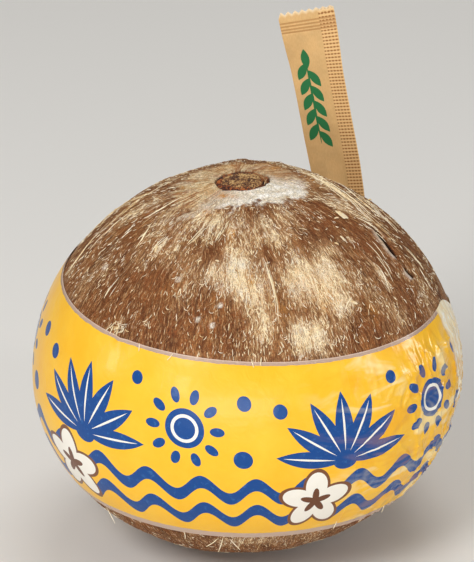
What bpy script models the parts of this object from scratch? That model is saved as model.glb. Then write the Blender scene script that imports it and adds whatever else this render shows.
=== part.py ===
"""A peeled drinking coconut in a printed film band, with a straw in a paper wrapper tucked behind it.

Metres, +Z up. The origin is the middle of the small flat spot that the nut rests on. The camera side
is -Y. The nut's own axis leans a little towards -X, so its parts are shaped in the nut's frame,
whose origin is the nut's centre, and then stood on the floor by NUT_PLACE.
"""
import math

import bmesh
import bpy
import numpy as np
from mathutils import Matrix, Vector, noise

MM = 0.001

# The peeled nut
NUT_RADIUS = 59.7 * MM
HEIGHT_UP = 55.0 * MM
HEIGHT_DOWN = 52.5 * MM
BULGE_UP = 2.0
BULGE_DOWN = 1.91
NUT_LEAN = math.radians(2.9)
REST_SPOT_CUT = 0.8 * MM
LOBE = 0.0172
LOBE_AZIMUTH = math.radians(-24.0)
CROWN_SHIFT = 0.5 * MM  # how far the crown sits towards +X of the nut's axis
CROWN_START = 24 * MM  # heights between which that shift grows
CROWN_END = 40 * MM
SWELL_AZIMUTH = math.radians(100.0)  # the rise of the crown behind the eye, and its latitude
SWELL_LATITUDE = math.radians(66.0)
SWELL_HEIGHT = 0.9 * MM
SWELL_HALF_ROUND = math.radians(50.0)
SWELL_HALF_UP = math.radians(13.0)
RIDGE_AZIMUTHS = [math.radians(a) for a in (-16.0, 95.0, -168.0)]
RIDGE_HEIGHT = 0.7 * MM
RIDGE_HALF_WIDTH = math.radians(7.0)
GRAIN_RELIEF = 0.35 * MM
NUT_SEGMENTS = 80
NUT_RINGS = 42

# The round fibrous plug in the eye, and the recess it sits in
EYE_OFFSET = 1.65 * MM
EYE_RADIUS = 7.2 * MM
EYE_DEPTH = 3.0 * MM
PLUG_RADIUS = 6.9 * MM
FIT_GAP = 0.3 * MM

# The split in the shell skin beside the front ridge, as azimuths and latitudes of its two ends
SPLIT_TOP = (math.radians(-16.5), math.radians(53.0))
SPLIT_FOOT = (math.radians(-21.5), math.radians(40.0))
SPLIT_WIDTH = 1.2 * MM
SPLIT_DEPTH = 1.4 * MM

# The film band: heights of its edges above the nut's centre, and how far the band sits askew
FILM_TOP = 27.7 * MM
FILM_BOTTOM = -28.4 * MM
FILM_SLOPE_X = -0.092
FILM_SLOPE_Y = 0.05
FILM_SAG = 5.0 * MM
SAG_AZIMUTHS = [math.radians(a) for a in (-14.0, 6.0, 80.0, 112.0)]
FILM_THICKNESS = 0.5 * MM
FILM_ROWS = 10
FILM_STEP = 0.5 * MM
FILM_SLACK = 1.0 * MM
FILM_TUCK = 1.8
TUCK_START = 4.0 * MM
GATHER_AZIMUTH = math.radians(-12.0)
GATHER_HALF_WIDTH = math.radians(26.0)
GATHER_HEIGHT = 0.7 * MM
GATHER_PITCH = math.radians(18.0)

# The straw's paper wrapper: a tube sealed along one side and crimped at both ends
WRAPPER_TOP = Vector((21.4, 57.2, 83.5)) * MM
WRAPPER_DOWN = Vector((0.139, -0.04, -0.9915)).normalized()
WRAPPER_LENGTH = 101.0 * MM
WRAPPER_STATIONS = 12
TUBE_HALF_WIDTH = 5.75 * MM
SIDE_SEAL = 4.85 * MM
END_SEAL = 6.3 * MM
SEAL_HALF_THICKNESS = 0.2 * MM
STRAW_RADIUS = 2.75 * MM
STRAW_TOP = 38.0 * MM
STRAW_RISE = 24.0 * MM
STRAW_FALL = 12.0 * MM
FACE_AZIMUTH_TOP = math.radians(-95.0)
FACE_AZIMUTH_HELD = math.radians(-114.0)
TWIST_END = 21.0 * MM
TOOTH_COUNT = 8
TOOTH_DEPTH = 0.8 * MM

NUT_CENTRE_HEIGHT = HEIGHT_DOWN - REST_SPOT_CUT
NUT_PLACE = Matrix.Translation((0, 0, NUT_CENTRE_HEIGHT)) @ Matrix.Rotation(-NUT_LEAN, 4, "Y")


def smooth(edge_a, edge_b, x):
    """0 before edge_a, 1 past edge_b, with a soft start and end."""
    t = min(1.0, max(0.0, (x - edge_a) / (edge_b - edge_a)))
    return t * t * (3 - 2 * t)


def angle_between(a, b):
    return math.atan2(math.sin(a - b), math.cos(a - b))


def make_material(name, colour, roughness):
    material = bpy.data.materials.new(name)
    material.use_nodes = True
    shader = material.node_tree.nodes["Principled BSDF"]
    shader.inputs["Base Color"].default_value = (*colour, 1)
    shader.inputs["Roughness"].default_value = roughness
    shader.inputs["Metallic"].default_value = 0.0
    return material


def make_object(name, shape, collection, material=None):
    """Turns a bmesh into a named object in a collection."""
    mesh = bpy.data.meshes.new(name)
    shape.to_mesh(mesh)
    shape.free()
    piece = bpy.data.objects.new(name, mesh)
    collection.objects.link(piece)
    if material:
        mesh.materials.append(material)
        mesh.shade_smooth()
        mesh.set_sharp_from_angle(angle=math.radians(40))
    return piece


def make_cutter(name, shape, collection):
    cutter = make_object(name, shape, collection)
    cutter.display_type = "WIRE"
    cutter.hide_render = True
    return cutter


def cut(piece, cutter):
    modifier = piece.modifiers.new(cutter.name, "BOOLEAN")
    modifier.operation = "DIFFERENCE"
    modifier.object = cutter


def profile_radius(height):
    """Radius of the smooth nut at a height from its centre."""
    reach = HEIGHT_UP if height >= 0 else HEIGHT_DOWN
    bulge = BULGE_UP if height >= 0 else BULGE_DOWN
    return NUT_RADIUS * max(0.0, 1 - (abs(height) / reach) ** bulge) ** (1 / bulge)


def lobes(azimuth):
    """The nut is faintly three-sided."""
    return 1 + LOBE * math.cos(3 * (azimuth - LOBE_AZIMUTH))


def film_skew(azimuth, radius):
    """How much higher the askew band's edges sit at a place than on the nut's axis."""
    return radius * (FILM_SLOPE_X * math.cos(azimuth) + FILM_SLOPE_Y * math.sin(azimuth))


def nut_relief(azimuth, height):
    """Three ridges and the grain of the shaved fibres, both gone where the film lies on the nut."""
    level = height - film_skew(azimuth, profile_radius(height))
    above_film = smooth(FILM_TOP + MM, FILM_TOP + 9 * MM, level)
    below_film = smooth(FILM_BOTTOM - MM, FILM_BOTTOM - 9 * MM, level)
    off_the_floor = smooth(-HEIGHT_DOWN, -0.88 * HEIGHT_DOWN, height)
    near_top = smooth(FILM_TOP + MM, FILM_TOP + 14 * MM, level) * smooth(HEIGHT_UP, 0.86 * HEIGHT_UP, height)
    ridge = sum(math.exp(-((angle_between(azimuth, a) / RIDGE_HALF_WIDTH) ** 2)) for a in RIDGE_AZIMUTHS)
    grain = noise.noise((4 * math.cos(azimuth), 4 * math.sin(azimuth), 25 * height))
    return RIDGE_HEIGHT * ridge * near_top + GRAIN_RELIEF * grain * (above_film + below_film * off_the_floor)


def nut_point(azimuth, latitude):
    """A point of the nut's surface in the nut's frame; latitude runs from -90 to 90 degrees."""
    reach = HEIGHT_UP if latitude >= 0 else HEIGHT_DOWN
    bulge = BULGE_UP if latitude >= 0 else BULGE_DOWN
    height = math.copysign(reach * abs(math.sin(latitude)) ** (2 / bulge), latitude)
    radius = NUT_RADIUS * abs(math.cos(latitude)) ** (2 / bulge) * lobes(azimuth)
    outward = Vector((math.cos(azimuth), math.sin(azimuth), 0))
    normal = (outward * math.cos(latitude) + Vector((0, 0, math.sin(latitude)))).normalized()
    crown = Vector((CROWN_SHIFT * smooth(CROWN_START, CROWN_END, height), 0, height))
    swell = SWELL_HEIGHT * math.exp(-((angle_between(azimuth, SWELL_AZIMUTH) / SWELL_HALF_ROUND) ** 2)
                                    - ((latitude - SWELL_LATITUDE) / SWELL_HALF_UP) ** 2)
    return outward * radius + crown + normal * (nut_relief(azimuth, height) + swell)


def build_nut(collection, cutters, material):
    shape = bmesh.new()
    bmesh.ops.create_uvsphere(shape, u_segments=NUT_SEGMENTS, v_segments=NUT_RINGS, radius=1)
    for vertex in shape.verts:
        azimuth = math.atan2(vertex.co.y, vertex.co.x)
        vertex.co = NUT_PLACE @ nut_point(azimuth, math.asin(max(-1, min(1, vertex.co.z))))
    nut = make_object("nut", shape, collection, material)

    floor_block = bmesh.new()
    bmesh.ops.create_cube(floor_block, size=NUT_RADIUS, matrix=Matrix.Translation((0, 0, -NUT_RADIUS / 2)))
    cut(nut, make_cutter("rest_spot_cutter", floor_block, cutters))

    recess = bmesh.new()
    at_eye = NUT_PLACE @ Matrix.Translation((EYE_OFFSET, 0, HEIGHT_UP))
    bmesh.ops.create_cone(recess, cap_ends=True, segments=32, radius1=EYE_RADIUS, radius2=EYE_RADIUS,
                          depth=2 * EYE_DEPTH, matrix=at_eye)
    cut(nut, make_cutter("eye_recess_cutter", recess, cutters))

    top = nut_point(*SPLIT_TOP)
    foot = nut_point(*SPLIT_FOOT)
    along = (top - foot).normalized()
    across = along.cross(top + foot).normalized()
    outward = across.cross(along)
    at_split = Matrix.Translation((top + foot) / 2) @ Matrix((outward, across, along)).transposed().to_4x4()
    sliver = Matrix.Diagonal((2 * SPLIT_DEPTH, SPLIT_WIDTH, (top - foot).length, 1))
    split = bmesh.new()
    bmesh.ops.create_cube(split, size=1, matrix=NUT_PLACE @ at_split @ sliver)
    cut(nut, make_cutter("split_cutter", split, cutters))


def build_eye_plug(collection, material):
    """A turned disc with a low crown and a groove inside its rim, in the recess at the nut's top."""
    floor_height = HEIGHT_UP - EYE_DEPTH + FIT_GAP
    crown = HEIGHT_UP - 0.1 * MM
    outline = [(0.0, crown), (0.45 * PLUG_RADIUS, crown - 0.1 * MM), (0.72 * PLUG_RADIUS, crown - 0.5 * MM),
               (0.84 * PLUG_RADIUS, crown - 1.1 * MM), (0.93 * PLUG_RADIUS, crown - 0.7 * MM),
               (PLUG_RADIUS, crown - 1.0 * MM), (PLUG_RADIUS, floor_height), (0.0, floor_height)]
    profile = bmesh.new()
    points = [profile.verts.new((radius, 0, height)) for radius, height in outline]
    for start, end in zip(points, points[1:]):
        profile.edges.new((start, end))
    plug = make_object("eye_plug", profile, collection, material)
    turn = plug.modifiers.new("turn", "SCREW")
    turn.angle = math.tau
    turn.steps = 32
    turn.render_steps = 32
    turn.use_merge_vertices = True
    turn.merge_threshold = 0.01 * MM
    plug.matrix_world = NUT_PLACE @ Matrix.Translation((EYE_OFFSET, 0, 0))


def tube_half_width(straw_radius):
    """Half the width of the paper tube once a straw of this radius opens it, for the same paper."""
    flat, wide = straw_radius, TUBE_HALF_WIDTH
    for _ in range(40):
        half = (flat + wide) / 2
        girth = math.sqrt(max(0.0, half ** 2 - straw_radius ** 2))
        girth += straw_radius * math.asin(straw_radius / half)
        flat, wide = (half, wide) if girth < TUBE_HALF_WIDTH else (flat, half)
    return half


def wrapper_frame(along):
    """Point, sideways and facing directions of the wrapper's middle line, in the nut's frame.

    Sideways is the side of the wrapper that the seal runs down, at the right seen from the front.
    """
    twist = smooth(0, TWIST_END, along)
    azimuth = FACE_AZIMUTH_TOP + (FACE_AZIMUTH_HELD - FACE_AZIMUTH_TOP) * twist
    facing = Vector((math.cos(azimuth), math.sin(azimuth), 0))
    facing = (facing - WRAPPER_DOWN * facing.dot(WRAPPER_DOWN)).normalized()
    sideways = facing.cross(WRAPPER_DOWN).normalized()
    return WRAPPER_TOP + WRAPPER_DOWN * along, sideways, facing


def wrapper_section(along):
    """One closed ring of points round the wrapper, as wide as the tube and its side seal."""
    middle, sideways, facing = wrapper_frame(along)
    open_in = smooth(STRAW_TOP, STRAW_TOP + STRAW_RISE, along)
    open_in *= smooth(WRAPPER_LENGTH - END_SEAL, WRAPPER_LENGTH - END_SEAL - STRAW_FALL, along)
    bulge = max(SEAL_HALF_THICKNESS, STRAW_RADIUS * open_in)
    half = tube_half_width(bulge)
    touch = bulge ** 2 / half
    left = -half - SIDE_SEAL / 2
    right = half + SIDE_SEAL / 2
    front = []
    for i in range(2 * TOOTH_COUNT + 1):
        across = left + (right - left) * i / (2 * TOOTH_COUNT)
        from_axis = abs(across + SIDE_SEAL / 2)
        if from_axis < touch:
            lift = math.sqrt(bulge ** 2 - from_axis ** 2)
        else:
            lift = math.sqrt(bulge ** 2 - touch ** 2) * (half - from_axis) / (half - touch)
        lift = max(SEAL_HALF_THICKNESS, lift)
        tooth = TOOTH_DEPTH * (i % 2) if along == 0 else 0
        front.append((middle + sideways * across + WRAPPER_DOWN * tooth, facing * lift))
    return [p + lift for p, lift in front] + [p - lift for p, lift in reversed(front)]


def build_straw_wrapper(collection, material):
    """A loft through the wrapper's sections, from its toothed top edge to its lower edge."""
    tube_length = WRAPPER_LENGTH - 2 * END_SEAL
    stations = [END_SEAL + tube_length * i / WRAPPER_STATIONS for i in range(WRAPPER_STATIONS + 1)]
    stations = [0, 2 * TOOTH_DEPTH] + stations + [WRAPPER_LENGTH]
    shape = bmesh.new()
    rings = [[shape.verts.new(NUT_PLACE @ p) for p in wrapper_section(along)] for along in stations]
    for upper, lower in zip(rings, rings[1:]):
        for i in range(len(upper)):
            j = (i + 1) % len(upper)
            shape.faces.new((upper[i], lower[i], lower[j], upper[j]))
    half = len(rings[0]) // 2
    for ring in (rings[0], rings[-1]):
        for i in range(half - 1):
            shape.faces.new((ring[i], ring[i + 1], ring[-2 - i], ring[-1 - i]))
    bmesh.ops.recalc_face_normals(shape, faces=shape.faces)
    make_object("straw_wrapper", shape, collection, material)


def film_reach(height):
    """Distances from the nut's axis to the film's inner face, for every whole degree of azimuth.

    The film is taut, so a level cut through it is the tight loop round the nut and the wrapper,
    eased by 3 degrees so that the flats of the sleeve don't cut the loop's corners. Below the
    wrapper's end the loop draws in again to the nut.
    """
    directions = np.radians(np.arange(360))
    spread = np.array([profile_radius(height) * lobes(a) for a in directions]) + FIT_GAP
    loop = np.stack([spread * np.cos(directions), spread * np.sin(directions)], axis=1)
    along = (WRAPPER_TOP.z - height) / -WRAPPER_DOWN.z
    if along > 0:
        corners = wrapper_section(min(along, WRAPPER_LENGTH))
        middle = sum(corners, Vector()) / len(corners)
        grown = np.array([(p + (p - middle).normalized() * FILM_SLACK).to_2d() for p in corners])
        tuck = FILM_TUCK * max(0.0, along - WRAPPER_LENGTH - TUCK_START) / np.linalg.norm(grown, axis=1)
        loop = np.vstack([loop, grown * (1 - tuck[:, None])])
    across = np.stack([np.cos(directions), np.sin(directions)], axis=1)
    support = (loop @ across.T).max(axis=0)
    turned = np.cos(directions[:, None] - directions[None, :])
    taut = np.where(turned > 0.1, support[None, :] / np.maximum(turned, 0.1), 1.0).min(axis=1)
    return np.maximum.reduce([np.roll(taut, degrees) for degrees in range(-3, 4)])


def film_gathers(azimuth, share_up):
    """Loose ripples where the shrunk film is bunched, on the right side."""
    nearness = math.exp(-((angle_between(azimuth, GATHER_AZIMUTH) / GATHER_HALF_WIDTH) ** 2))
    ripple = 0.5 + 0.5 * math.sin(math.tau * azimuth / GATHER_PITCH + 5 * share_up)
    return GATHER_HEIGHT * nearness * ripple


def film_sag(azimuth):
    """How far the band's top edge sags on the right side."""
    start, full, still_full, end = SAG_AZIMUTHS
    turned = angle_between(azimuth, 0.0)
    return FILM_SAG * smooth(start, full, turned) * smooth(end, still_full, turned)


def build_film_band(collection, material):
    """A grid rolled into a sleeve round the nut, with the film's thickness added outwards."""
    shape = bmesh.new()
    bmesh.ops.create_grid(shape, x_segments=NUT_SEGMENTS, y_segments=FILM_ROWS, size=0.5)
    reaches = {}  # film_reach at each step of height, worked out once
    for vertex in shape.verts:
        azimuth = math.tau * (vertex.co.x + 0.5)
        share_up = vertex.co.y + 0.5
        level = FILM_BOTTOM + (FILM_TOP - film_sag(azimuth) - FILM_BOTTOM) * share_up
        reach = NUT_RADIUS
        for _ in range(6):
            height = level + film_skew(azimuth, reach)
            key = math.floor(height / FILM_STEP)
            for step in (key, key + 1):
                if step not in reaches:
                    reaches[step] = film_reach(step * FILM_STEP)
            share = height / FILM_STEP - key
            round_the_nut = (1 - share) * reaches[key] + share * reaches[key + 1]
            reach = float(np.interp(math.degrees(azimuth), np.arange(360), round_the_nut, period=360))
        reach += film_gathers(azimuth, share_up)
        vertex.co = NUT_PLACE @ Vector((reach * math.cos(azimuth), reach * math.sin(azimuth), height))
    bmesh.ops.remove_doubles(shape, verts=shape.verts, dist=0.01 * MM)
    bmesh.ops.recalc_face_normals(shape, faces=shape.faces)
    band = make_object("film_band", shape, collection, material)
    wall = band.modifiers.new("film_thickness", "SOLIDIFY")
    wall.thickness = FILM_THICKNESS
    wall.offset = 1.0
    wall.use_even_offset = True


def build():
    for old in list(bpy.data.objects):
        bpy.data.objects.remove(old, do_unlink=True)
    parts = bpy.data.collections.new("drinking_coconut")
    cutters = bpy.data.collections.new("cutters")
    for collection in (parts, cutters):
        bpy.context.scene.collection.children.link(collection)

    build_nut(parts, cutters, make_material("shaved_shell_skin", (0.25, 0.12, 0.055), 0.8))
    build_eye_plug(parts, make_material("plug_fibre", (0.30, 0.17, 0.07), 0.9))
    build_film_band(parts, make_material("printed_film", (0.95, 0.60, 0.03), 0.2))
    build_straw_wrapper(parts, make_material("kraft_paper", (0.58, 0.37, 0.17), 0.7))


build()
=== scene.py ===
import math
import random

import bpy
import numpy as np
from mathutils import Matrix, Vector, noise


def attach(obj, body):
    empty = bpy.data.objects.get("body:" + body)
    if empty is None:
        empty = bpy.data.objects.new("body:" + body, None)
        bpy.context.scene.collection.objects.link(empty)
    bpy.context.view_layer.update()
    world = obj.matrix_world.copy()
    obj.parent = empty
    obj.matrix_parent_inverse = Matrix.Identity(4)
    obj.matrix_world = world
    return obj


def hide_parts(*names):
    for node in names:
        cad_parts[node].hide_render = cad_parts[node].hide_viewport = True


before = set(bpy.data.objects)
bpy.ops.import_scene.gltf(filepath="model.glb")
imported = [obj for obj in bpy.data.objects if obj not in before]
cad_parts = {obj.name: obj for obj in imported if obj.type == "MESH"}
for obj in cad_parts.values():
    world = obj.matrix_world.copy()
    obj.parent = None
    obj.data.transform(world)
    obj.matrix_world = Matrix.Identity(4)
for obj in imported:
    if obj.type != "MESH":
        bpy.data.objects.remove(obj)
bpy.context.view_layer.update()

MM = 0.001

# Camera, where the photographer stood: the nut's centre is a little right of and below the middle
CAMERA_DISTANCE = 900 * MM
CAMERA_ELEVATION = math.radians(24.73)
CAMERA_LENS = 204.95
AIM_ABOVE_NUT = math.radians(1.457)
AIM_LEFT_OF_NUT = math.radians(0.17)

# The peeled nut, as its solid is made, but with two rises of its crest turned closer to the photo
NUT_RADIUS = 59.7 * MM
HEIGHT_UP = 55.0 * MM
HEIGHT_DOWN = 52.5 * MM
BULGE_UP = 2.0
BULGE_DOWN = 1.91
NUT_LEAN = math.radians(2.9)
REST_SPOT_CUT = 0.8 * MM
LOBE = 0.0172
LOBE_AZIMUTH = math.radians(-24.0)
CROWN_SHIFT = 0.5 * MM
CROWN_START = 24 * MM
CROWN_END = 40 * MM
SWELL_AZIMUTH = math.radians(82.0)
SWELL_LATITUDE = math.radians(66.0)
SWELL_HEIGHT = 0.9 * MM
SWELL_HALF_ROUND = math.radians(50.0)
SWELL_HALF_UP = math.radians(13.0)
RIDGE_AZIMUTHS = [math.radians(a) for a in (-16.0, 87.0, -168.0)]
RIDGE_HEIGHT = 0.7 * MM
RIDGE_HALF_WIDTH = math.radians(7.0)
GRAIN_RELIEF = 0.35 * MM
NUT_CENTRE_HEIGHT = HEIGHT_DOWN - REST_SPOT_CUT
NUT_PLACE = Matrix.Translation((0, 0, NUT_CENTRE_HEIGHT)) @ Matrix.Rotation(-NUT_LEAN, 4, "Y")

# Rings of the nut's mesh: close together where the skin shows, far apart under the film
NUT_SEGMENTS = 500
RING_STOPS = [(-90, 36), (-26, 12), (25, 104), (79, 20), (84, 8), (90, 0)]  # latitude, rings up to the next

# Eye
EYE_OFFSET = 1.65 * MM
EYE_RADIUS = 7.1 * MM
EYE_DEPTH = 3.0 * MM
PLUG_GAP = 0.12 * MM
PLUG_WALL = 1.6 * MM
PLUG_SPOKES = 200
PLUG_RINGS = 44

# The split beside the front ridge: two stretches, as azimuths and latitudes from their feet up
SPLITS = [[(-20.5, 33.8), (-21.5, 36.5), (-22.0, 38.8)],
          [(-21.5, 40.6), (-20.5, 44.5), (-19.0, 48.0), (-17.5, 50.5), (-16.5, 54.0)]]
SPLIT_HALF_WIDTH = 1.0 * MM
SPLIT_DEPTH = 1.5 * MM
SPLIT_LIP = 0.3 * MM

# Film band
FILM_TOP = 27.7 * MM
FILM_BOTTOM = -28.4 * MM
FILM_SLOPE_X = -0.092
FILM_SLOPE_Y = 0.05
FILM_SAG = 5.0 * MM
SAG_AZIMUTHS = [math.radians(a) for a in (-14.0, 6.0, 80.0, 112.0)]
CORNER_SAG = 4.0 * MM  # more at the side, where the seam pulls the edge down
CORNER_AZIMUTHS = [math.radians(a) for a in (-14.0, 8.0, 24.0, 56.0)]
SLEEVE_TOP = 27.2 * MM  # the cut edge itself, just inside the solid's
PRINT_TOP = 26.3  # millimetres above the nut's centre, as the next
PRINT_BOTTOM = -26.1
FILM_THICKNESS = 0.09 * MM
FILM_GAP = 0.08 * MM
FILM_STEP = 0.5 * MM
FILM_SLACK = 1.0 * MM
FILM_TUCK = 1.8
TUCK_START = 4.0 * MM
GATHER_AZIMUTH = -24.0  # degrees, the middle of the wrinkled stretch
FILM_COLUMNS = 520
FILM_ROWS = 90
FILM_SEAM = math.radians(-12.0)
SEAM_MIDDLE = 7.0  # millimetres past the join, as the next
SEAM_HALF_WIDTH = 14.0
FILM_GIRTH = math.tau * 59.5  # millimetres, as the next but the counts
PRINT_CELLS = 5
WAVE_HEIGHTS = (-9.0, -18.2)
WAVE_SWING = 2.6
WAVE_HALF_STROKE = 2.1
WAVES_IN_CELL = 5
FROND_FOOT = (-16, -0.6)
SUN_MIDDLE = (15, 9.0)
FLOWER_MIDDLE = (-24, -13.5)

# Straw wrapper
WRAPPER_TOP = Vector((21.4, 57.2, 83.5)) * MM
WRAPPER_DOWN = Vector((0.139, -0.04, -0.9915)).normalized()
WRAPPER_LENGTH = 101.0 * MM
TUBE_HALF_WIDTH = 5.75 * MM
SIDE_SEAL = 4.85 * MM
PAPER_WIDTH = 2 * TUBE_HALF_WIDTH + SIDE_SEAL
END_SEAL = 6.3 * MM
SEAL_HALF_THICKNESS = 0.14 * MM
STRAW_RADIUS = 2.75 * MM
STRAW_TOP = 38.0 * MM
STRAW_RISE = 24.0 * MM
STRAW_FALL = 12.0 * MM
FACE_AZIMUTH_TOP = math.radians(-95.0)
FACE_AZIMUTH_HELD = math.radians(-114.0)
TWIST_END = 21.0 * MM
TOOTH_COUNT = 8
TOOTH_DEPTH = 1.05 * MM
TOOTH_RISE = 0.9 * MM
CORNER_CUT = 0.8 * MM
CRIMP_LINES = (2.6, 3.6, 4.6, 5.5)  # millimetres from the wrapper's end
DOT_PITCH = 1.0  # millimetres, along the side seal and across it
PAPER_COLUMNS = 64
PAPER_ROWS = 420


def smooth(edge_a, edge_b, x):
    """0 before edge_a, 1 past edge_b, with a soft start and end."""
    t = min(1.0, max(0.0, (x - edge_a) / (edge_b - edge_a)))
    return t * t * (3 - 2 * t)


def angle_between(a, b):
    return math.atan2(math.sin(a - b), math.cos(a - b))


def hump(distance, half_width):
    return math.exp(-((distance / half_width) ** 2))


# Modelling helpers

def start_piece(add_primitive, name, **settings):
    """Adds a primitive on its own, with nothing else selected."""
    bpy.ops.object.select_all(action="DESELECT")
    add_primitive(**settings)
    piece = bpy.context.object
    piece.name = name
    piece.data.name = name
    return piece


def edit(piece, mode="VERT"):
    bpy.context.view_layer.objects.active = piece
    bpy.ops.object.mode_set(mode="EDIT")
    bpy.ops.mesh.select_mode(type=mode)


def leave_edit():
    bpy.ops.object.mode_set(mode="OBJECT")


def face_outwards(piece, merge_within=0.0):
    """Merges points closer than a distance, where one is given, and turns every face outwards."""
    edit(piece)
    bpy.ops.mesh.select_all(action="SELECT")
    if merge_within:
        bpy.ops.mesh.remove_doubles(threshold=merge_within)
    bpy.ops.mesh.normals_make_consistent(inside=False)
    leave_edit()


def lay_flat(piece, spots):
    """Gives a sheet its flat pattern, in millimetres: one spot for each vertex."""
    uv_layer = piece.data.uv_layers.active.data
    for loop in piece.data.loops:
        uv_layer[loop.index].uv = spots[loop.vertex_index]


def give_attribute(piece, name, values):
    attribute = piece.data.attributes.new(name, "FLOAT", "POINT")
    attribute.data.foreach_set("value", np.asarray(values, dtype=np.float32))


def finish_piece(piece, material, node, sharp_above=60):
    """Gives a piece its material, smooth shading and its place in the frame."""
    piece.data.materials.clear()
    piece.data.materials.append(material)
    bpy.ops.object.select_all(action="DESELECT")
    piece.select_set(True)
    bpy.context.view_layer.objects.active = piece
    bpy.ops.object.shade_smooth_by_angle(angle=math.radians(sharp_above))
    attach(piece, "root")
    if node:
        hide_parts(node)


def linear(hex_colour):
    """An sRGB hex colour as the linear values that a shader takes."""
    parts = [int(hex_colour[i:i + 2], 16) / 255 for i in (0, 2, 4)]
    return tuple(p / 12.92 if p <= 0.04045 else ((p + 0.055) / 1.055) ** 2.4 for p in parts) + (1.0,)


def fill(tree, node, inputs):
    """Gives a node's inputs their values or links."""
    for socket, value in inputs.items():
        if isinstance(value, bpy.types.NodeSocket):
            tree.links.new(value, node.inputs[socket])
        else:
            node.inputs[socket].default_value = value


def add(tree, kind, inputs=None, output=None, stops=(), **settings):
    """Adds a shader node, with its settings, and its inputs as values or links; returns one output.

    That is the named one, or else the first that the settings leave on. Stops are a ramp's colours.
    """
    node = tree.nodes.new("ShaderNode" + kind)
    for name, value in settings.items():
        setattr(node, name, value)
    fill(tree, node, inputs or {})
    if stops:
        elements = node.color_ramp.elements
        for end, (position, colour) in zip(elements, (stops[0], stops[-1])):
            end.position = position
            end.color = linear(colour)
        for position, colour in stops[1:-1]:
            elements.new(position).color = linear(colour)
    return node.outputs[output] if output else next(socket for socket in node.outputs if socket.enabled)


def new_material(name):
    """A material with nothing but its Principled shader; returns it, its tree and the shader."""
    material = bpy.data.materials.new(name)
    material.use_nodes = True
    return material, material.node_tree, material.node_tree.nodes["Principled BSDF"]


# The nut's surface

def profile_radius(height):
    reach = HEIGHT_UP if height >= 0 else HEIGHT_DOWN
    bulge = BULGE_UP if height >= 0 else BULGE_DOWN
    return NUT_RADIUS * max(0.0, 1 - (abs(height) / reach) ** bulge) ** (1 / bulge)


def lobes(azimuth):
    return 1 + LOBE * math.cos(3 * (azimuth - LOBE_AZIMUTH))


def film_skew(azimuth, radius):
    """How much higher the askew band's edges sit at a place than on the nut's axis."""
    return radius * (FILM_SLOPE_X * math.cos(azimuth) + FILM_SLOPE_Y * math.sin(azimuth))


def split_here(azimuth, latitude):
    """How deep the dried skin has split open here, and how far this is the raised lip at its left, which is
    also painted pale as a highlight.
    """
    degrees = math.degrees(latitude)
    for line in SPLITS:
        share = (degrees - line[0][1]) / (line[-1][1] - line[0][1])
        if 0 < share < 1:
            on_line = np.interp(degrees, [place[1] for place in line], [place[0] for place in line])
            aside = angle_between(azimuth, math.radians(float(on_line))) * NUT_RADIUS * math.cos(latitude)
            taper = smooth(0, 0.2, share) * smooth(1, 0.65, share)
            half = SPLIT_HALF_WIDTH * (0.3 + 0.7 * taper)
            lip_and_highlight = taper * hump(aside + 1.5 * half, 0.6 * half)
            return SPLIT_DEPTH * taper * smooth(half, 0.35 * half, abs(aside)) - SPLIT_LIP * lip_and_highlight, lip_and_highlight
    return 0.0, 0.0


def nut_relief(azimuth, height, latitude):
    """The solid's ridges and grain, and the finer marks that the blade left along the nut."""
    level = height - film_skew(azimuth, profile_radius(height))
    above_film = smooth(FILM_TOP + MM, FILM_TOP + 9 * MM, level)
    below_film = smooth(FILM_BOTTOM - MM, FILM_BOTTOM - 9 * MM, level)
    off_the_floor = smooth(-HEIGHT_DOWN, -0.88 * HEIGHT_DOWN, height)
    near_top = smooth(FILM_TOP + MM, FILM_TOP + 14 * MM, level) * smooth(HEIGHT_UP, 0.86 * HEIGHT_UP, height)
    ridge = sum(hump(angle_between(azimuth, a), RIDGE_HALF_WIDTH) for a in RIDGE_AZIMUTHS)
    x, y = math.cos(azimuth), math.sin(azimuth)
    grain = GRAIN_RELIEF * noise.noise((4 * x, 4 * y, 25 * height))
    if above_film + below_film > 0:
        arc = latitude * NUT_RADIUS / MM
        rough = 1 - 0.85 * smooth(math.radians(68), math.radians(78), latitude)
        grain += rough * 0.13 * MM * noise.noise((13 * x, 13 * y, arc / 11))
        grain += rough * 0.12 * MM * noise.noise((38 * x, 38 * y, arc / 4.5))
        grain += rough * 0.07 * MM * noise.noise((58 * x, 58 * y, arc / 1.5))
    return RIDGE_HEIGHT * ridge * near_top + grain * (above_film + below_film * off_the_floor)


def nut_point(azimuth, latitude):
    """A point of the nut's skin and the way out of it, in the nut's frame."""
    reach = HEIGHT_UP if latitude >= 0 else HEIGHT_DOWN
    bulge = BULGE_UP if latitude >= 0 else BULGE_DOWN
    height = math.copysign(reach * abs(math.sin(latitude)) ** (2 / bulge), latitude)
    radius = NUT_RADIUS * abs(math.cos(latitude)) ** (2 / bulge) * lobes(azimuth)
    outward = Vector((math.cos(azimuth), math.sin(azimuth), 0))
    normal = outward * math.cos(latitude) * reach
    normal = (normal + Vector((0, 0, math.sin(latitude) * NUT_RADIUS))).normalized()
    aside = CROWN_SHIFT * smooth(CROWN_START, CROWN_END, height)
    if latitude > 0:
        aside += (EYE_OFFSET - CROWN_SHIFT) * smooth(26 * MM, 12 * MM, radius)
    swell = SWELL_HEIGHT * hump(angle_between(azimuth, SWELL_AZIMUTH), SWELL_HALF_ROUND)
    swell *= hump(latitude - SWELL_LATITUDE, SWELL_HALF_UP)
    relief = nut_relief(azimuth, height, latitude)
    return outward * radius + Vector((aside, 0, height)) + normal * (relief + swell), normal


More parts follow.
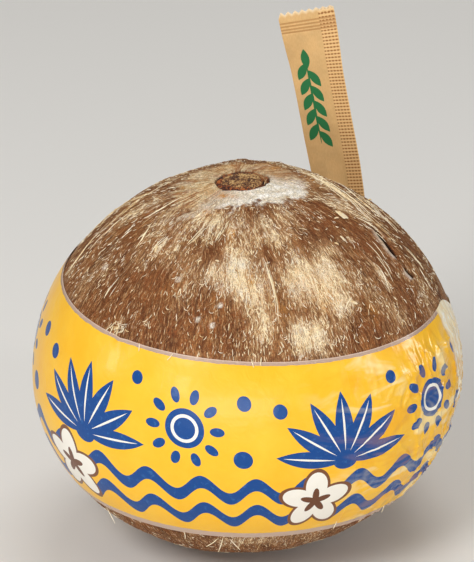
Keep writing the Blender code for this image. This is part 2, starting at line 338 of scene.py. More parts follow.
def eye_reach(azimuth):
    """The eye's edge: round, drawn out a little to left and right, and ragged."""
    x, y = math.cos(azimuth), math.sin(azimuth)
    ragged = 0.03 * noise.noise((2.2 * x, 2.2 * y, 5)) + 0.025 * noise.noise((9 * x, 9 * y, 9))
    return EYE_RADIUS * (0.99 + 0.07 * max(0.0, math.cos(azimuth - 0.12)) ** 8 + 0.03 * x * x + ragged)


# Where the skin is pale, calm or ochre, as azimuth, latitude, half width, half height (mm), strength
PALE_PATCHES = [
    (-90.5, 52, 4.0, 8.0, 0.95), (-86.5, 46, 4.5, 7.0, 0.85), (-82.0, 37, 3.5, 5.0, 0.75),
    (-79.3, 47, 1.0, 9.0, 0.9), (-60.0, 46, 8.5, 9.0, 0.9), (-69.0, 31, 6.5, 5.0, 0.8),
    (-55.5, 39, 4.0, 5.0, 0.8), (-37.0, 30, 5.0, 4.0, 0.4), (-100.5, 52.5, 2.5, 4.0, 0.7),
    (-112.0, 69, 6.0, 4.0, 0.9), (-34.0, 41, 1.0, 5.0, 0.9), (-51.5, 37.6, 0.9, 1.8, 1.0),
    (-125.0, 60, 4.0, 5.0, 0.4), (-131.0, 57.5, 0.8, 3.2, 1.0), (-122.5, 58.5, 1.0, 1.4, 0.9),
    (-47.0, 53.5, 3.0, 4.0, 0.6), (-33.0, 53.6, 0.9, 1.2, 0.9), (-75.0, 62, 9.0, 4.0, 0.5),
    (-14.0, 62, 4.0, 7.0, 0.5), (-94.5, 59, 2.5, 4.0, 0.6), (-71.5, 33.5, 3.0, 4.0, 0.7),
    (-138.0, 65, 5.0, 5.0, 0.35), (-173.0, 62, 4.0, 8.0, 0.3), (30.0, 66, 9.0, 4.0, 0.6),
    (-101.0, 66.5, 8.0, 5.0, 0.55), (-72.0, 67, 8.0, 4.0, 0.5), (-126.0, 66, 6.0, 5.0, 0.45),
    (95.0, 44, 8.0, 8.0, 0.75), (128.0, 55, 6.0, 9.0, 0.6), (155.0, 40, 9.0, 6.0, 0.6),
    (-90.0, -40, 9.0, 4.0, 0.5), (-20.0, -45, 9.0, 9.0, 0.7), (60.0, -50, 9.0, 8.0, 0.6),
    (170.0, -48, 9.0, 9.0, 0.7),
]
CALM_PATCHES = [
    (-40.5, 61, 8.0, 6.0, 0.9), (-102.0, 57, 5.0, 6.0, 0.5), (-125.0, 47, 7.5, 5.0, 0.9),
    (-47.5, 29, 7.5, 4.0, 0.8), (-108.0, 34, 8.0, 5.0, 0.7), (-28.0, 50, 6.0, 9.0, 0.9),
    (-140.0, 40, 8.0, 7.0, 0.6), (-72.0, 55, 3.0, 5.0, 0.3), (-5.0, 40, 8.0, 9.0, 0.8),
    (30.0, 46, 9.0, 9.0, 0.8), (65.0, 54, 8.0, 6.0, 0.7), (115.0, 36, 9.0, 6.0, 0.8),
    (180.0, 46, 7.0, 8.0, 0.7), (-30.0, 32, 5.0, 6.0, 0.6),
]
OCHRE_PATCHES = [
    (-94.0, 64, 1.6, 2.6, 0.8), (-85.5, 49, 1.6, 3.0, 0.8), (-60.0, 42, 6.0, 6.0, 0.5),
    (-76.0, 40, 3.0, 4.0, 0.5), (-46.0, 33, 2.5, 3.0, 0.5), (-112.0, 80.5, 4.5, 1.9, 1.0),
    (-150.0, 80, 3.5, 1.6, 0.7), (-118.0, 72, 2.5, 3.0, 0.6), (20.0, 79, 4.0, 2.5, 0.7),
    (60.0, 75, 5.0, 4.0, 0.9), (15.0, 70, 6.0, 3.0, 0.7), (110.0, 77, 5.0, 4.0, 0.6),
    (60.0, 48, 5.0, 6.0, 0.5), (140.0, 50, 5.0, 5.0, 0.5),
]

# Bare round spots: azimuth, latitude, half width (mm)
ROUND_SPOTS = [(-151.0, 46.1, 0.95), (-114.5, 49.0, 0.9), (-104.0, 38.0, 0.7), (-97.0, 42.0, 0.8),
               (-99.0, 36.5, 0.9), (30.0, 47.0, 0.8), (118.0, 44.0, 0.9), (-88.0, -39.5, 0.7)]

# Edge of the calm zone round the eye, shaved smooth: azimuth, distance from its middle (mm)
SMOOTH_ZONE = [(-180, 18.5), (-148, 19.4), (-130, 19.6), (-118, 18.6), (-106, 16.0), (-82, 14.4),
               (-60, 15.0), (-38, 16.0), (-23, 18.2), (-5, 19.0), (25, 18.0), (60, 16.5), (100, 17.5),
               (150, 18.5), (180, 18.5)]


def patchwork(patches, azimuth, latitude):
    """Strength here of the strongest of these soft patches."""
    best = 0.0
    for az, lat, half_width, half_height, strength in patches:
        up = (latitude - math.radians(lat)) * NUT_RADIUS / MM / half_height
        if abs(up) < 2.2:
            turned = angle_between(azimuth, math.radians(az))
            across = turned * math.cos(latitude) * NUT_RADIUS / MM / half_width
            if abs(across) < 2.2:
                best = max(best, strength * math.exp(-(across * across + up * up)))
    return best


def skin_looks(azimuth, latitude):
    """How pale, white, tan, calm and ochre the skin is here, each from 0 to 1."""
    x, y = math.cos(azimuth), math.sin(azimuth)
    arc = latitude * NUT_RADIUS / MM
    drift = noise.noise((7 * x, 7 * y, arc / 16))
    streaks = noise.noise((26 * x, 26 * y, arc / 9))
    pale = patchwork(PALE_PATCHES, azimuth, latitude)
    calm = patchwork(CALM_PATCHES, azimuth, latitude)
    pale = min(1.0, max(0.0, pale * (1 + 0.7 * streaks) + 0.28 * drift + 0.12 * streaks + 0.05 - 0.3 * calm))
    calm = min(1.0, max(0.0, calm * (1 + 0.5 * streaks) - 0.25 * drift))
    ochre = min(1.0, patchwork(OCHRE_PATCHES, azimuth, latitude) * (1 + 1.2 * streaks))
    from_eye = NUT_RADIUS / MM * math.cos(latitude)
    inside = white = 0.0
    if latitude > 0.8:
        blotch = noise.noise((from_eye * x / 4.5, from_eye * y / 4.5, 3))
        crumb = noise.noise((from_eye * x / 1.3, from_eye * y / 1.3, 8))
        edge = float(np.interp(math.degrees(azimuth), *zip(*SMOOTH_ZONE))) + 3.4 * blotch + 3.0 * crumb
        inside = smooth(edge + 1.6, edge - 1.6, from_eye)
        turned = abs(angle_between(azimuth, math.radians(-58)))
        front_right = smooth(math.radians(90), math.radians(42), turned)
        white = inside * max(0.0, min(1.0, front_right + 0.35 * blotch * (1 - front_right)))
    tan = inside - white
    for az, lat, half in ROUND_SPOTS:
        up = (latitude - math.radians(lat)) * NUT_RADIUS / MM
        across = angle_between(azimuth, math.radians(az)) * math.cos(latitude) * NUT_RADIUS / MM
        if abs(up) < 2 and abs(across) < 2:
            white = max(white, 0.7 * smooth(1.15 * half, 0.7 * half, math.hypot(up, across)))
    return pale, white, tan, calm, ochre


def model_nut(material):
    """A grid rolled into a nut, finer round the split, with the eye's recess and a flat foot; the split and
    the eye's wall are painted dark as shade.
    """
    ring_ends = [sum(stop[1] for stop in RING_STOPS[:i]) for i in range(len(RING_STOPS))]
    ring_latitudes = [stop[0] for stop in RING_STOPS]

    def place_on_nut(spot):
        """Azimuth and latitude, in radians, of a point of the flat grid."""
        latitude = np.interp((spot.y + 0.5) * ring_ends[-1], ring_ends, ring_latitudes)
        return math.tau * spot.x, math.radians(float(latitude))

    nut = start_piece(bpy.ops.mesh.primitive_grid_add, "nut_skin", x_subdivisions=NUT_SEGMENTS,
                      y_subdivisions=ring_ends[-1], size=1)
    edit(nut)
    bpy.ops.mesh.select_all(action="DESELECT")
    leave_edit()
    split_course = [place for line in SPLITS for place in line]
    for face in nut.data.polygons:
        azimuth, latitude = place_on_nut(face.center)
        on_line = np.interp(math.degrees(latitude), *zip(*((lat, az) for az, lat in split_course)))
        face.select = (math.radians(33) < latitude < math.radians(55)
                       and abs(azimuth - math.radians(float(on_line))) < math.radians(2.4))
    edit(nut, "FACE")
    bpy.ops.mesh.subdivide(number_cuts=3)
    leave_edit()
    looks = []
    for vertex in nut.data.vertices:
        azimuth, latitude = place_on_nut(vertex.co)
        point, normal = nut_point(azimuth, latitude)
        pale, white, tan, calm, ochre = skin_looks(azimuth, latitude)
        hollow_shade = 0.0
        if math.radians(30) < latitude < math.radians(58) and abs(azimuth - math.radians(-19)) < 0.12:
            sunk, lip_and_highlight = split_here(azimuth, latitude)
            point -= normal * sunk
            # painted shade: the deeper the split, the darker it is painted
            hollow_shade = smooth(0.1 * SPLIT_DEPTH, 0.4 * SPLIT_DEPTH, sunk)
            # painted highlight: the split's raised left lip is whitened through the white attribute
            white = max(white, 0.6 * lip_and_highlight)
        from_eye = math.hypot(point.x - EYE_OFFSET, point.y)
        if latitude > 0 and from_eye < 2 * EYE_RADIUS:
            reach = eye_reach(azimuth)
            point.z += 0.2 * MM * hump(from_eye - 1.13 * reach, 1.0 * MM)
            point.z -= (EYE_DEPTH + 0.1 * MM) * smooth(reach + 0.12 * MM, reach - 0.22 * MM, from_eye)
            # painted shade: the eye's sunken wall is painted dark
            hollow_shade = smooth(reach + 0.25 * MM, reach - 0.15 * MM, from_eye)
        looks.append((pale, white, tan, calm, ochre, hollow_shade))
        vertex.co = NUT_PLACE @ point
        vertex.co.z = max(0.0, vertex.co.z)
    for name, values in zip(("pale", "white", "tan", "calm", "ochre", "hollow_shade"), zip(*looks)):
        give_attribute(nut, name, values)
    face_outwards(nut, merge_within=0.004 * MM)
    finish_piece(nut, material, "nut")


def model_plug(material):
    """A disc drawn in ring by ring: a grainy mound, sunk at the front left, where its dark rim is painted
    wider as shade.
    """
    plug = start_piece(bpy.ops.mesh.primitive_circle_add, "eye_fibre_disc", vertices=PLUG_SPOKES, radius=1)
    edit(plug, "EDGE")
    bpy.ops.mesh.select_all(action="SELECT")
    for ring in range(PLUG_RINGS, 1, -1):
        bpy.ops.mesh.extrude_edges_move()
        bpy.ops.transform.resize(value=((ring - 1) / ring,) * 3)
    bpy.ops.mesh.merge(type="CENTER")
    leave_edit()
    rim_and_shade_values = []
    crown = HEIGHT_UP - 0.1 * MM
    for vertex in plug.data.vertices:
        share = vertex.co.length
        azimuth = math.atan2(vertex.co.y, vertex.co.x)
        vertex.co *= eye_reach(azimuth) - PLUG_GAP
        cell = Vector((vertex.co.x, vertex.co.y, 0)) / MM
        coarse = noise.noise(cell * 0.85 + Vector((4, 7, 3)))
        fine = noise.noise(cell * 2.3 + Vector((1, 5, 7)))
        shaded_front_left = max(0.0, math.cos(azimuth - math.radians(-122)))
        behind = smooth(-0.2, 0.9, math.sin(azimuth))
        right_end = max(0.0, math.cos(azimuth - 0.1)) ** 8
        # painted shade: the dark rim is widened at the front left, where the plug sinks
        thick = 0.1 + 0.27 * shaded_front_left ** 1.2 + 0.16 * right_end
        thick += 0.05 * noise.noise((3 * math.cos(azimuth), 3 * math.sin(azimuth), 1))
        sunk = float(np.interp(share, [0, 0.4, 0.75, 0.9, 1.0], [0, 0.08, 0.4, 0.8, 0.85])) * MM
        relief = smooth(1.03, 0.88, share) * (0.42 * MM * coarse + 0.26 * MM * fine)
        rim_and_shade_values.append(smooth(1 - thick - 0.08, 1 - thick + 0.03, share + 0.13 * coarse + 0.07 * fine))
        vertex.co.z = crown + min(relief - sunk * (1 - 0.75 * behind), 0.0)
    edit(plug, "EDGE")
    bpy.ops.mesh.select_all(action="DESELECT")
    bpy.ops.mesh.select_non_manifold()
    bpy.ops.mesh.extrude_edges_move(TRANSFORM_OT_translate={"value": (0, 0, -PLUG_WALL)})
    bpy.ops.mesh.edge_face_add()
    face_outwards(plug)
    rim_and_shade_values += [1.0] * (len(plug.data.vertices) - len(rim_and_shade_values))
    give_attribute(plug, "rim_and_shade", rim_and_shade_values)
    plug.data.transform(NUT_PLACE @ Matrix.Translation((EYE_OFFSET, 0, 0)))
    finish_piece(plug, material, "eye_plug")


# Fibres left on the skin by the blade

def model_strand(name, segments):
    """One fibre, three-sided and tapered, 1 long and 1 wide; returns corners, ring numbers and faces."""
    strand = start_piece(bpy.ops.mesh.primitive_cylinder_add, name, vertices=3, radius=0.5, depth=1,
                         end_fill_type="NGON")
    edit(strand, "EDGE")
    bpy.ops.mesh.select_all(action="DESELECT")
    leave_edit()
    for edge in strand.data.edges:
        a, b = (strand.data.vertices[i].co for i in edge.vertices)
        edge.select = abs(a.z - b.z) > 0.5
    edit(strand, "EDGE")
    bpy.ops.mesh.subdivide(number_cuts=segments - 1)
    leave_edit()
    corners, rings = [], []
    for vertex in strand.data.vertices:
        share = vertex.co.z + 0.5
        taper = 0.3 + 0.7 * math.sin(math.pi * min(1, max(0, share))) ** 0.5
        corners.append((vertex.co.x * taper, vertex.co.y * taper))
        rings.append(round(share * segments))
    faces = [tuple(face.vertices) for face in strand.data.polygons]
    bpy.data.objects.remove(strand, do_unlink=True)
    return np.array(corners), np.array(rings), faces


class FibreBundle:
    """Copies of one strand laid over the skin, each bent to its own path, joined in one piece."""

    def __init__(self, segments):
        self.segments = segments
        self.corners, self.rings, self.faces = model_strand("strand", segments)
        self.points, self.polygons, self.tones = [], [], []

    def lay(self, path, width, thickness, lift, tone, tip=0.0):
        """Lays a strand along a path of azimuths and latitudes, its middle or its far tip lifted."""
        middle, across, outward = [], [], []
        for i, (azimuth, latitude) in enumerate(path):
            point, normal = nut_point(azimuth, latitude)
            rise = lift * math.sin(math.pi * i / self.segments) + tip * (i / self.segments) ** 1.6
            middle.append(point + normal * (rise + 0.12 * thickness))
            outward.append(normal)
        for i in range(len(path)):
            along = middle[min(i + 1, len(path) - 1)] - middle[max(i - 1, 0)]
            across.append(along.cross(outward[i]).normalized())
        middle, across, outward = (np.array(rows) for rows in (middle, across, outward))
        shape = middle[self.rings] + across[self.rings] * (self.corners[:, :1] * width)
        shape += outward[self.rings] * ((self.corners[:, 1:] + 0.25) * thickness)
        start = len(self.points) * len(self.rings)
        self.points.append(shape)
        self.polygons += [tuple(start + i for i in face) for face in self.faces]
        self.tones += [tone] * len(self.rings)

    def join(self, name, material):
        mesh = bpy.data.meshes.new(name)
        mesh.from_pydata(np.vstack(self.points), [], self.polygons)
        mesh.transform(NUT_PLACE)
        piece = bpy.data.objects.new(name, mesh)
        bpy.context.collection.objects.link(piece)
        give_attribute(piece, "tone", self.tones)
        face_outwards(piece)
        finish_piece(piece, material, None)


def bent_path(azimuth, latitude, length, heading, curl, segments):
    """A path round a starting place, turning as it goes; heading 0 runs straight down the nut."""
    path = []
    east = north = 0.0
    step = length / segments
    for i in range(segments + 1):
        lat = latitude + north / NUT_RADIUS
        path.append((azimuth + east / (NUT_RADIUS * max(0.12, math.cos(lat))), lat))
        turn = heading + curl * (i + 0.5) * step
        east += step * math.sin(turn)
        north -= step * math.cos(turn)
    return path


def shaved_fibres(name, count, lowest, highest, seed, material):
    """Short fibres scattered over a zone, thickest where the skin is pale and at the smooth zone's edge."""
    rng = random.Random(seed)
    bundle = FibreBundle(4)
    laid = 0
    while laid < count:
        azimuth = rng.uniform(-math.pi, math.pi)
        latitude = math.asin(rng.uniform(math.sin(lowest), math.sin(highest)))
        pale, white, tan, calm, ochre = skin_looks(azimuth, latitude)
        smooth_zone = max(white, tan)
        if rng.random() > (0.36 + 0.64 * pale - 0.26 * calm) * (1 - 0.88 * smooth_zone):
            continue
        length = rng.triangular(*FIBRE_LENGTHS) * MM
        heading = rng.gauss(0, 0.26)
        curl = rng.gauss(0, 0.24) / MM
        width = rng.triangular(*FIBRE_WIDTHS) * MM
        bright = rng.random() < 0.05 + 0.06 * (1 - calm) + 0.1 * pale
        if bright:
            width *= 2.1
            length *= 0.75
            if rng.random() < 0.3:
                curl = rng.choice((-1, 1)) * rng.uniform(0.5, 1.3) / MM
        path = bent_path(azimuth, latitude, length, heading, curl, 4)
        height = HEIGHT_UP * math.sin(path[-1][1])
        if latitude > 0 and height - film_skew(azimuth, profile_radius(height)) < FILM_TOP + 0.5 * MM:
            continue
        if max(split_here(*place)[0] for place in path) > 0:
            continue
        lift = abs(rng.gauss(0, 0.045)) * MM
        tone = rng.gauss(0.86 if bright else 0.15 + 0.7 * pale + 0.2 * white, 0.12 if bright else 0.2)
        bundle.lay(path, width, 0.55 * width, lift, min(1.0, max(0.0, tone)),
                   0.12 * MM * rng.random() * bright)
        laid += 1
    bundle.join(name, material)


# Long fibres: path as azimuths and latitudes, how many side by side, spread (mm), width (mm)
LONG_FIBRES = [
    ([(35.5, 69), (28, 67.5), (15.5, 66), (5.5, 63.5), (-3, 59.5), (-7.5, 56), (-7.5, 54)], 15, 1.9, 0.18),
    ([(33, 66), (15, 63.5), (2, 60), (-6, 55), (-9.5, 50), (-11, 45)], 9, 2.2, 0.16),
    ([(45, 66), (16, 62), (4, 56), (-2, 49)], 10, 3.4, 0.16),
    ([(38, 56.5), (17.5, 57.5), (8, 54), (-0.5, 49)], 8, 1.5, 0.18),
    ([(20, 55), (8, 50), (2, 43), (0, 37)], 6, 4.0, 0.16),
    ([(-20, 62), (-17, 55), (-17, 48)], 4, 2.0, 0.16),
    ([(-12.5, 34.5), (-13, 29), (-12.5, 24.5)], 3, 0.8, 0.2),
    ([(-11, 41.5), (-10, 35.5), (-10.5, 29)], 4, 0.8, 0.2),
    ([(-172, 33.5), (-173.5, 39.5), (-175.5, 46), (-182.5, 51)], 7, 1.4, 0.22),
    ([(-176.5, 50), (-182, 58), (-198, 64), (-210.5, 68)], 8, 1.6, 0.22),
    ([(-189, 48), (-204, 52), (-211, 56.5)], 5, 1.6, 0.2),
    ([(-168, 45), (-170, 52), (-174, 60)], 5, 2.5, 0.2),
    ([(-161.5, 58), (-160, 63.5), (-158.5, 69), (-163, 73)], 4, 0.5, 0.28),
    ([(-157, 53.5), (-157.7, 57), (-161, 61)], 3, 0.3, 0.3),
    ([(-143, 55), (-145, 58.5), (-150.5, 63.5)], 3, 0.4, 0.3), ([(-147, 57), (-147, 61.5)], 2, 0.2, 0.26),
    ([(-134, 55), (-132.5, 58), (-130.5, 63)], 2, 0.3, 0.28), ([(-125.5, 67), (-122, 73)], 4, 0.8, 0.24),
    ([(-150, 70), (-146, 66), (-143, 61)], 5, 2.5, 0.2),
    ([(-79.5, 55.5), (-78, 52), (-77.5, 46), (-78.5, 41), (-78, 35.5)], 11, 1.3, 0.2),
    ([(-33, 44), (-33.5, 40), (-35, 35.7)], 4, 0.6, 0.24),
    ([(-51, 38.5), (-53.5, 37), (-55, 34.5)], 2, 0.2, 0.3),
    ([(-25, 50), (-27, 44), (-29, 38)], 4, 2.0, 0.18), ([(-99, 70), (-101, 65), (-104, 60)], 4, 1.6, 0.22),
    ([(-113, 66), (-116, 61), (-119, 57)], 3, 1.2, 0.24), ([(-62, 52), (-62, 46), (-63, 40)], 4, 3.0, 0.18),
    ([(-90, 60), (-88, 50), (-86, 42)], 5, 3.0, 0.18), ([(-140, 36), (-141, 40), (-141, 45)], 3, 2.5, 0.18),
    ([(60, 68), (75, 60), (80, 50)], 10, 4.0, 0.2), ([(95, 64), (96, 55), (96, 44)], 14, 2.5, 0.2),
    ([(130, 66), (128, 58), (127, 48)], 8, 4.0, 0.2), ([(165, 66), (163, 56), (160, 44)], 8, 4.0, 0.2),
    ([(40, 50), (38, 43), (38, 36)], 6, 4.0, 0.18), ([(115, 46), (116, 40), (118, 34)], 5, 4.0, 0.18),
    ([(-90, -36), (-92, -43), (-94, -52)], 8, 6.0, 0.2), ([(0, -38), (2, -48), (4, -60)], 8, 7.0, 0.2),
    ([(90, -38), (88, -50), (86, -62)], 8, 7.0, 0.2), ([(180, -38), (182, -50), (184, -62)], 8, 7.0, 0.2),
]

# Torn flakes of husk: azimuth, latitude, length (mm), width (mm), heading
FLAKES = [(-22.0, 62.2, 4.2, 2.0, -24), (-22.6, 61.6, 3.2, 1.4, -32), (-36.0, 55.9, 2.4, 0.9, -30),
          (-131.5, 55.6, 2.4, 0.8, 185), (-130.2, 58.8, 2.2, 0.7, 175), (-122.5, 58.6, 1.5, 0.9, 20),
          (-51.5, 37.8, 2.0, 0.9, 30), (-101.0, 55.6, 1.4, 0.6, 60), (-107.0, 55.4, 1.3, 0.6, -50),
          (-28.5, 61.0, 1.2, 0.7, 40), (-42.5, 54.8, 1.3, 0.8, 10), (75.0, 52.0, 2.4, 1.2, 20),
          (150.0, 47.0, 2.0, 1.0, -20), (20.0, 50.0, 1.6, 0.9, 15)]

# Loose whiskers at the film's edges: azimuth, latitude, length (mm), heading, lift of the tip (mm)
WHISKERS = [(-121.0, 30.0, 2.4, 20, 0.6), (-110.0, 28.5, 2.4, -15, 0.6), (-87.0, 27.0, 2.6, 10, 0.6),
            (-84.0, 27.2, 2.4, -20, 0.6), (-142.0, -33.0, 6.0, 8, 2.0), (-99.5, -37.0, 7.0, -12, 2.2),
            (-97.5, -38.0, 6.0, 24, 1.6), (-101.5, -38.0, 5.0, -35, 1.4), (-112.0, -34.0, 4.0, 10, 0.9),
            (-61.0, -34.0, 4.0, -8, 0.9), (-41.0, -35.0, 4.5, 12, 1.2), (20.0, -35.0, 5.0, 5, 1.0),
            (100.0, 27.0, 4.5, 180, 0.9), (120.0, -35.0, 5.0, -10, 1.2)]

# Frayed tuft at the film's top edge, on the left, and strands laid round the eye's right end
TUFT_AZIMUTH = -130.2
TUFT_LATITUDE = 33.2
TUFT_COUNT = 30
EYE_STRANDS = 9

# Short fibres, in millimetres, as shortest, longest and commonest; grain of the bleached patches
FIBRE_LENGTHS = (0.6, 3.2, 1.0)
FIBRE_WIDTHS = (0.06, 0.15, 0.09)
BLEACH_SCALE = 0.16  # per millimetre


def along_path(points, share):
    """A place on the smooth line through these azimuths and latitudes, in radians."""
    place = np.linspace(0, 1, len(points))
    bend = np.polyfit(place, np.radians(points), min(2, len(points) - 1))
    return np.polyval(bend[:, 0], share), np.polyval(bend[:, 1], share)


def long_fibres(material):
    """Long fibres in strips, whiskers, the frayed tuft and the strands round the eye, in one piece."""
    rng = random.Random(5)
    bundle = FibreBundle(12)
    for points, count, spread, width in LONG_FIBRES:
        for _ in range(count):
            start = rng.uniform(-0.05, 0.5)
            end = min(1.1, start + rng.uniform(0.3, 0.75))
            aside = rng.gauss(0, 0.5 * spread) * MM
            sway = rng.gauss(0, 0.25) * MM
            path = []
            for i in range(13):
                share = start + (end - start) * i / 12
                azimuth, latitude = along_path(points, share)
                off = aside + sway * math.sin(4 * share + start * 9)
                path.append((azimuth + off / (NUT_RADIUS * math.cos(latitude)), latitude))
            lift = abs(rng.gauss(0.05, 0.1)) * MM
            bundle.lay(path, width * rng.uniform(0.7, 1.3) * MM, 0.14 * MM, lift,
                       rng.uniform(0.75, 1.0) if count < 5 else rng.uniform(0.35, 0.95))
    for azimuth, latitude, length, heading, off in WHISKERS:
        path = bent_path(math.radians(azimuth), math.radians(latitude), length * MM, math.radians(heading),
                         rng.gauss(0, 0.12) / MM, 12)
        bundle.lay(path, 0.32 * MM, 0.22 * MM, 0.2 * MM, 0.9, off * MM)
    for _ in range(TUFT_COUNT):
        latitude = math.radians(rng.gauss(TUFT_LATITUDE, 0.7))
        path = bent_path(math.radians(rng.gauss(TUFT_AZIMUTH, 1.7)), latitude, rng.uniform(1.0, 2.6) * MM,
                         rng.gauss(0, 0.6), rng.gauss(0, 0.4) / MM, 12)
        bundle.lay(path, rng.uniform(0.14, 0.26) * MM, 0.16 * MM, 0.15 * MM, rng.uniform(0.5, 1.0),
                   rng.uniform(0.1, 0.5) * MM)
    for turn in range(EYE_STRANDS):
        start = math.radians(-36 + 7 * turn + rng.uniform(-4, 4))
        latitude = math.acos(EYE_RADIUS * rng.uniform(0.84, 1.06) / NUT_RADIUS)
        sweep = math.radians(rng.uniform(25, 45))
        path = [(start + sweep * i / 12, latitude + math.radians(0.5) * math.sin(i / 4)) for i in range(13)]
        bundle.lay(path, 0.38 * MM, 0.2 * MM, 0.2 * MM, rng.uniform(0.0, 0.45))
    bundle.join("long_fibres", material)


def torn_flakes(material):
    """Flat flakes of pale husk, each curled up at its tip."""
    bundle = FibreBundle(8)
    for azimuth, latitude, length, width, heading in FLAKES:
        for share in (1.0, 0.75):
            path = bent_path(math.radians(azimuth), math.radians(latitude), share * length * MM,
                             math.radians(heading + 14 * (1 - share)), 0.12 / MM, 8)
            bundle.lay(path, share * width * MM, 0.3 * MM, 0.25 * MM, 0.44 + 0.2 * share, 0.35 * MM)
    bundle.join("torn_flakes", material)


# Straw wrapper

def tube_half_width(straw_radius):
    """Half the width of the paper tube once a straw of this radius opens it, for the same paper."""
    flat, wide = straw_radius, TUBE_HALF_WIDTH
    for _ in range(40):
        half = (flat + wide) / 2
        girth = math.sqrt(max(0.0, half ** 2 - straw_radius ** 2))
        girth += straw_radius * math.asin(straw_radius / half)
        flat, wide = (half, wide) if girth < TUBE_HALF_WIDTH else (flat, half)
    return half


def wrapper_frame(along):
    """Point, sideways and facing directions of the wrapper's middle line, in the nut's frame."""
    twist = smooth(0, TWIST_END, along)
    azimuth = FACE_AZIMUTH_TOP + (FACE_AZIMUTH_HELD - FACE_AZIMUTH_TOP) * twist
    facing = Vector((math.cos(azimuth), math.sin(azimuth), 0))
    facing = (facing - WRAPPER_DOWN * facing.dot(WRAPPER_DOWN)).normalized()
    sideways = facing.cross(WRAPPER_DOWN).normalized()
    return WRAPPER_TOP + WRAPPER_DOWN * along, sideways, facing


def straw_opening(along):
    """Bulge and half width of the tube here, opened by the straw inside it."""
    open_in = smooth(STRAW_TOP, STRAW_TOP + STRAW_RISE, along)
    open_in *= smooth(WRAPPER_LENGTH - END_SEAL, WRAPPER_LENGTH - END_SEAL - STRAW_FALL, along)
    bulge = max(SEAL_HALF_THICKNESS, STRAW_RADIUS * open_in)
    return bulge, tube_half_width(bulge)


def paper_lift(from_axis, bulge, half):
    """How far the paper stands from the wrapper's middle plane, at a distance from the tube's axis."""
    touch = bulge ** 2 / half
    if from_axis < touch:
        lift = math.sqrt(bulge ** 2 - from_axis ** 2)
    else:
        lift = math.sqrt(bulge ** 2 - touch ** 2) * (half - from_axis) / (half - touch)
    return max(SEAL_HALF_THICKNESS, lift)


def crimp(into_seal, along):
    """Relief of the heat-sealed paper: a grid of small dots down the side seal, lines over the end seals."""
    from_end = min(along, WRAPPER_LENGTH - along)
    lines = sum(hump(from_end - line * MM, 0.26 * MM) for line in CRIMP_LINES)
    dots = 0.0
    if into_seal > 0:
        row = math.sin(math.tau * along / (DOT_PITCH * MM))
        column = math.sin(math.tau * into_seal / (DOT_PITCH * MM))
        dots = max(0.0, row) * (0.55 + 0.45 * column) * smooth(0, 0.4 * MM, into_seal)
        lines *= 0.3
    return -0.1 * MM * dots - 0.13 * MM * lines


def model_wrapper(material):
    """A sheet rolled into a flat tube, opened by the straw, with crimped seals and toothed ends."""
    paper = start_piece(bpy.ops.mesh.primitive_grid_add, "wrapper_paper", x_subdivisions=2 * PAPER_COLUMNS,
                        y_subdivisions=PAPER_ROWS, size=1)
    tube_share = 2 * TUBE_HALF_WIDTH / PAPER_WIDTH
    spots = []
    for vertex in paper.data.vertices:
        turn = (vertex.co.x + 0.5) * 2
        face_side = 1 if turn <= 1 else -1
        share = turn if turn <= 1 else 2 - turn
        along = WRAPPER_LENGTH * (0.5 - vertex.co.y)
        bulge, half = straw_opening(along)
        middle, sideways, facing = wrapper_frame(along)
        if share < tube_share:
            across = -half + 2 * half * share / tube_share
            lift = paper_lift(abs(across), bulge, half)
            into_seal = 0.0
        else:
            into_seal = SIDE_SEAL * (share - tube_share) / (1 - tube_share)
            across = half + into_seal
            lift = SEAL_HALF_THICKNESS
        from_end = min(along, WRAPPER_LENGTH - along)
        at_fold, at_edge = (math.sqrt(max(0.0, min(1.0, side / 0.02))) for side in (share, 1 - share))
        lift *= at_fold * at_edge
        lift *= min(1.0, from_end / (0.3 * MM))
        crinkle = 0.16 * MM * noise.noise((across / MM / 5, along / MM / 6, 0))
        crinkle *= smooth(6 * MM, 12 * MM, along)
        tooth = (TOOTH_DEPTH * (1 - 0.5 * share)) * abs(2 * ((share * TOOTH_COUNT) % 1) - 1)
        corner = CORNER_CUT * max(0.0, 1 - share / 0.05) ** 1.5
        end_pull = smooth(2.0 * MM, 0, along) * (tooth + corner - TOOTH_RISE)
        end_pull -= smooth(WRAPPER_LENGTH - 2.0 * MM, WRAPPER_LENGTH, along) * tooth
        point = middle + sideways * (across - SIDE_SEAL / 2) + WRAPPER_DOWN * end_pull
        point += facing * (face_side * lift + crimp(into_seal, along) + crinkle)
        spots.append((share * PAPER_WIDTH / MM, along / MM))
        vertex.co = NUT_PLACE @ point
    lay_flat(paper, spots)
    face_outwards(paper, merge_within=0.004 * MM)
    finish_piece(paper, material, "straw_wrapper", sharp_above=50)


# Film band

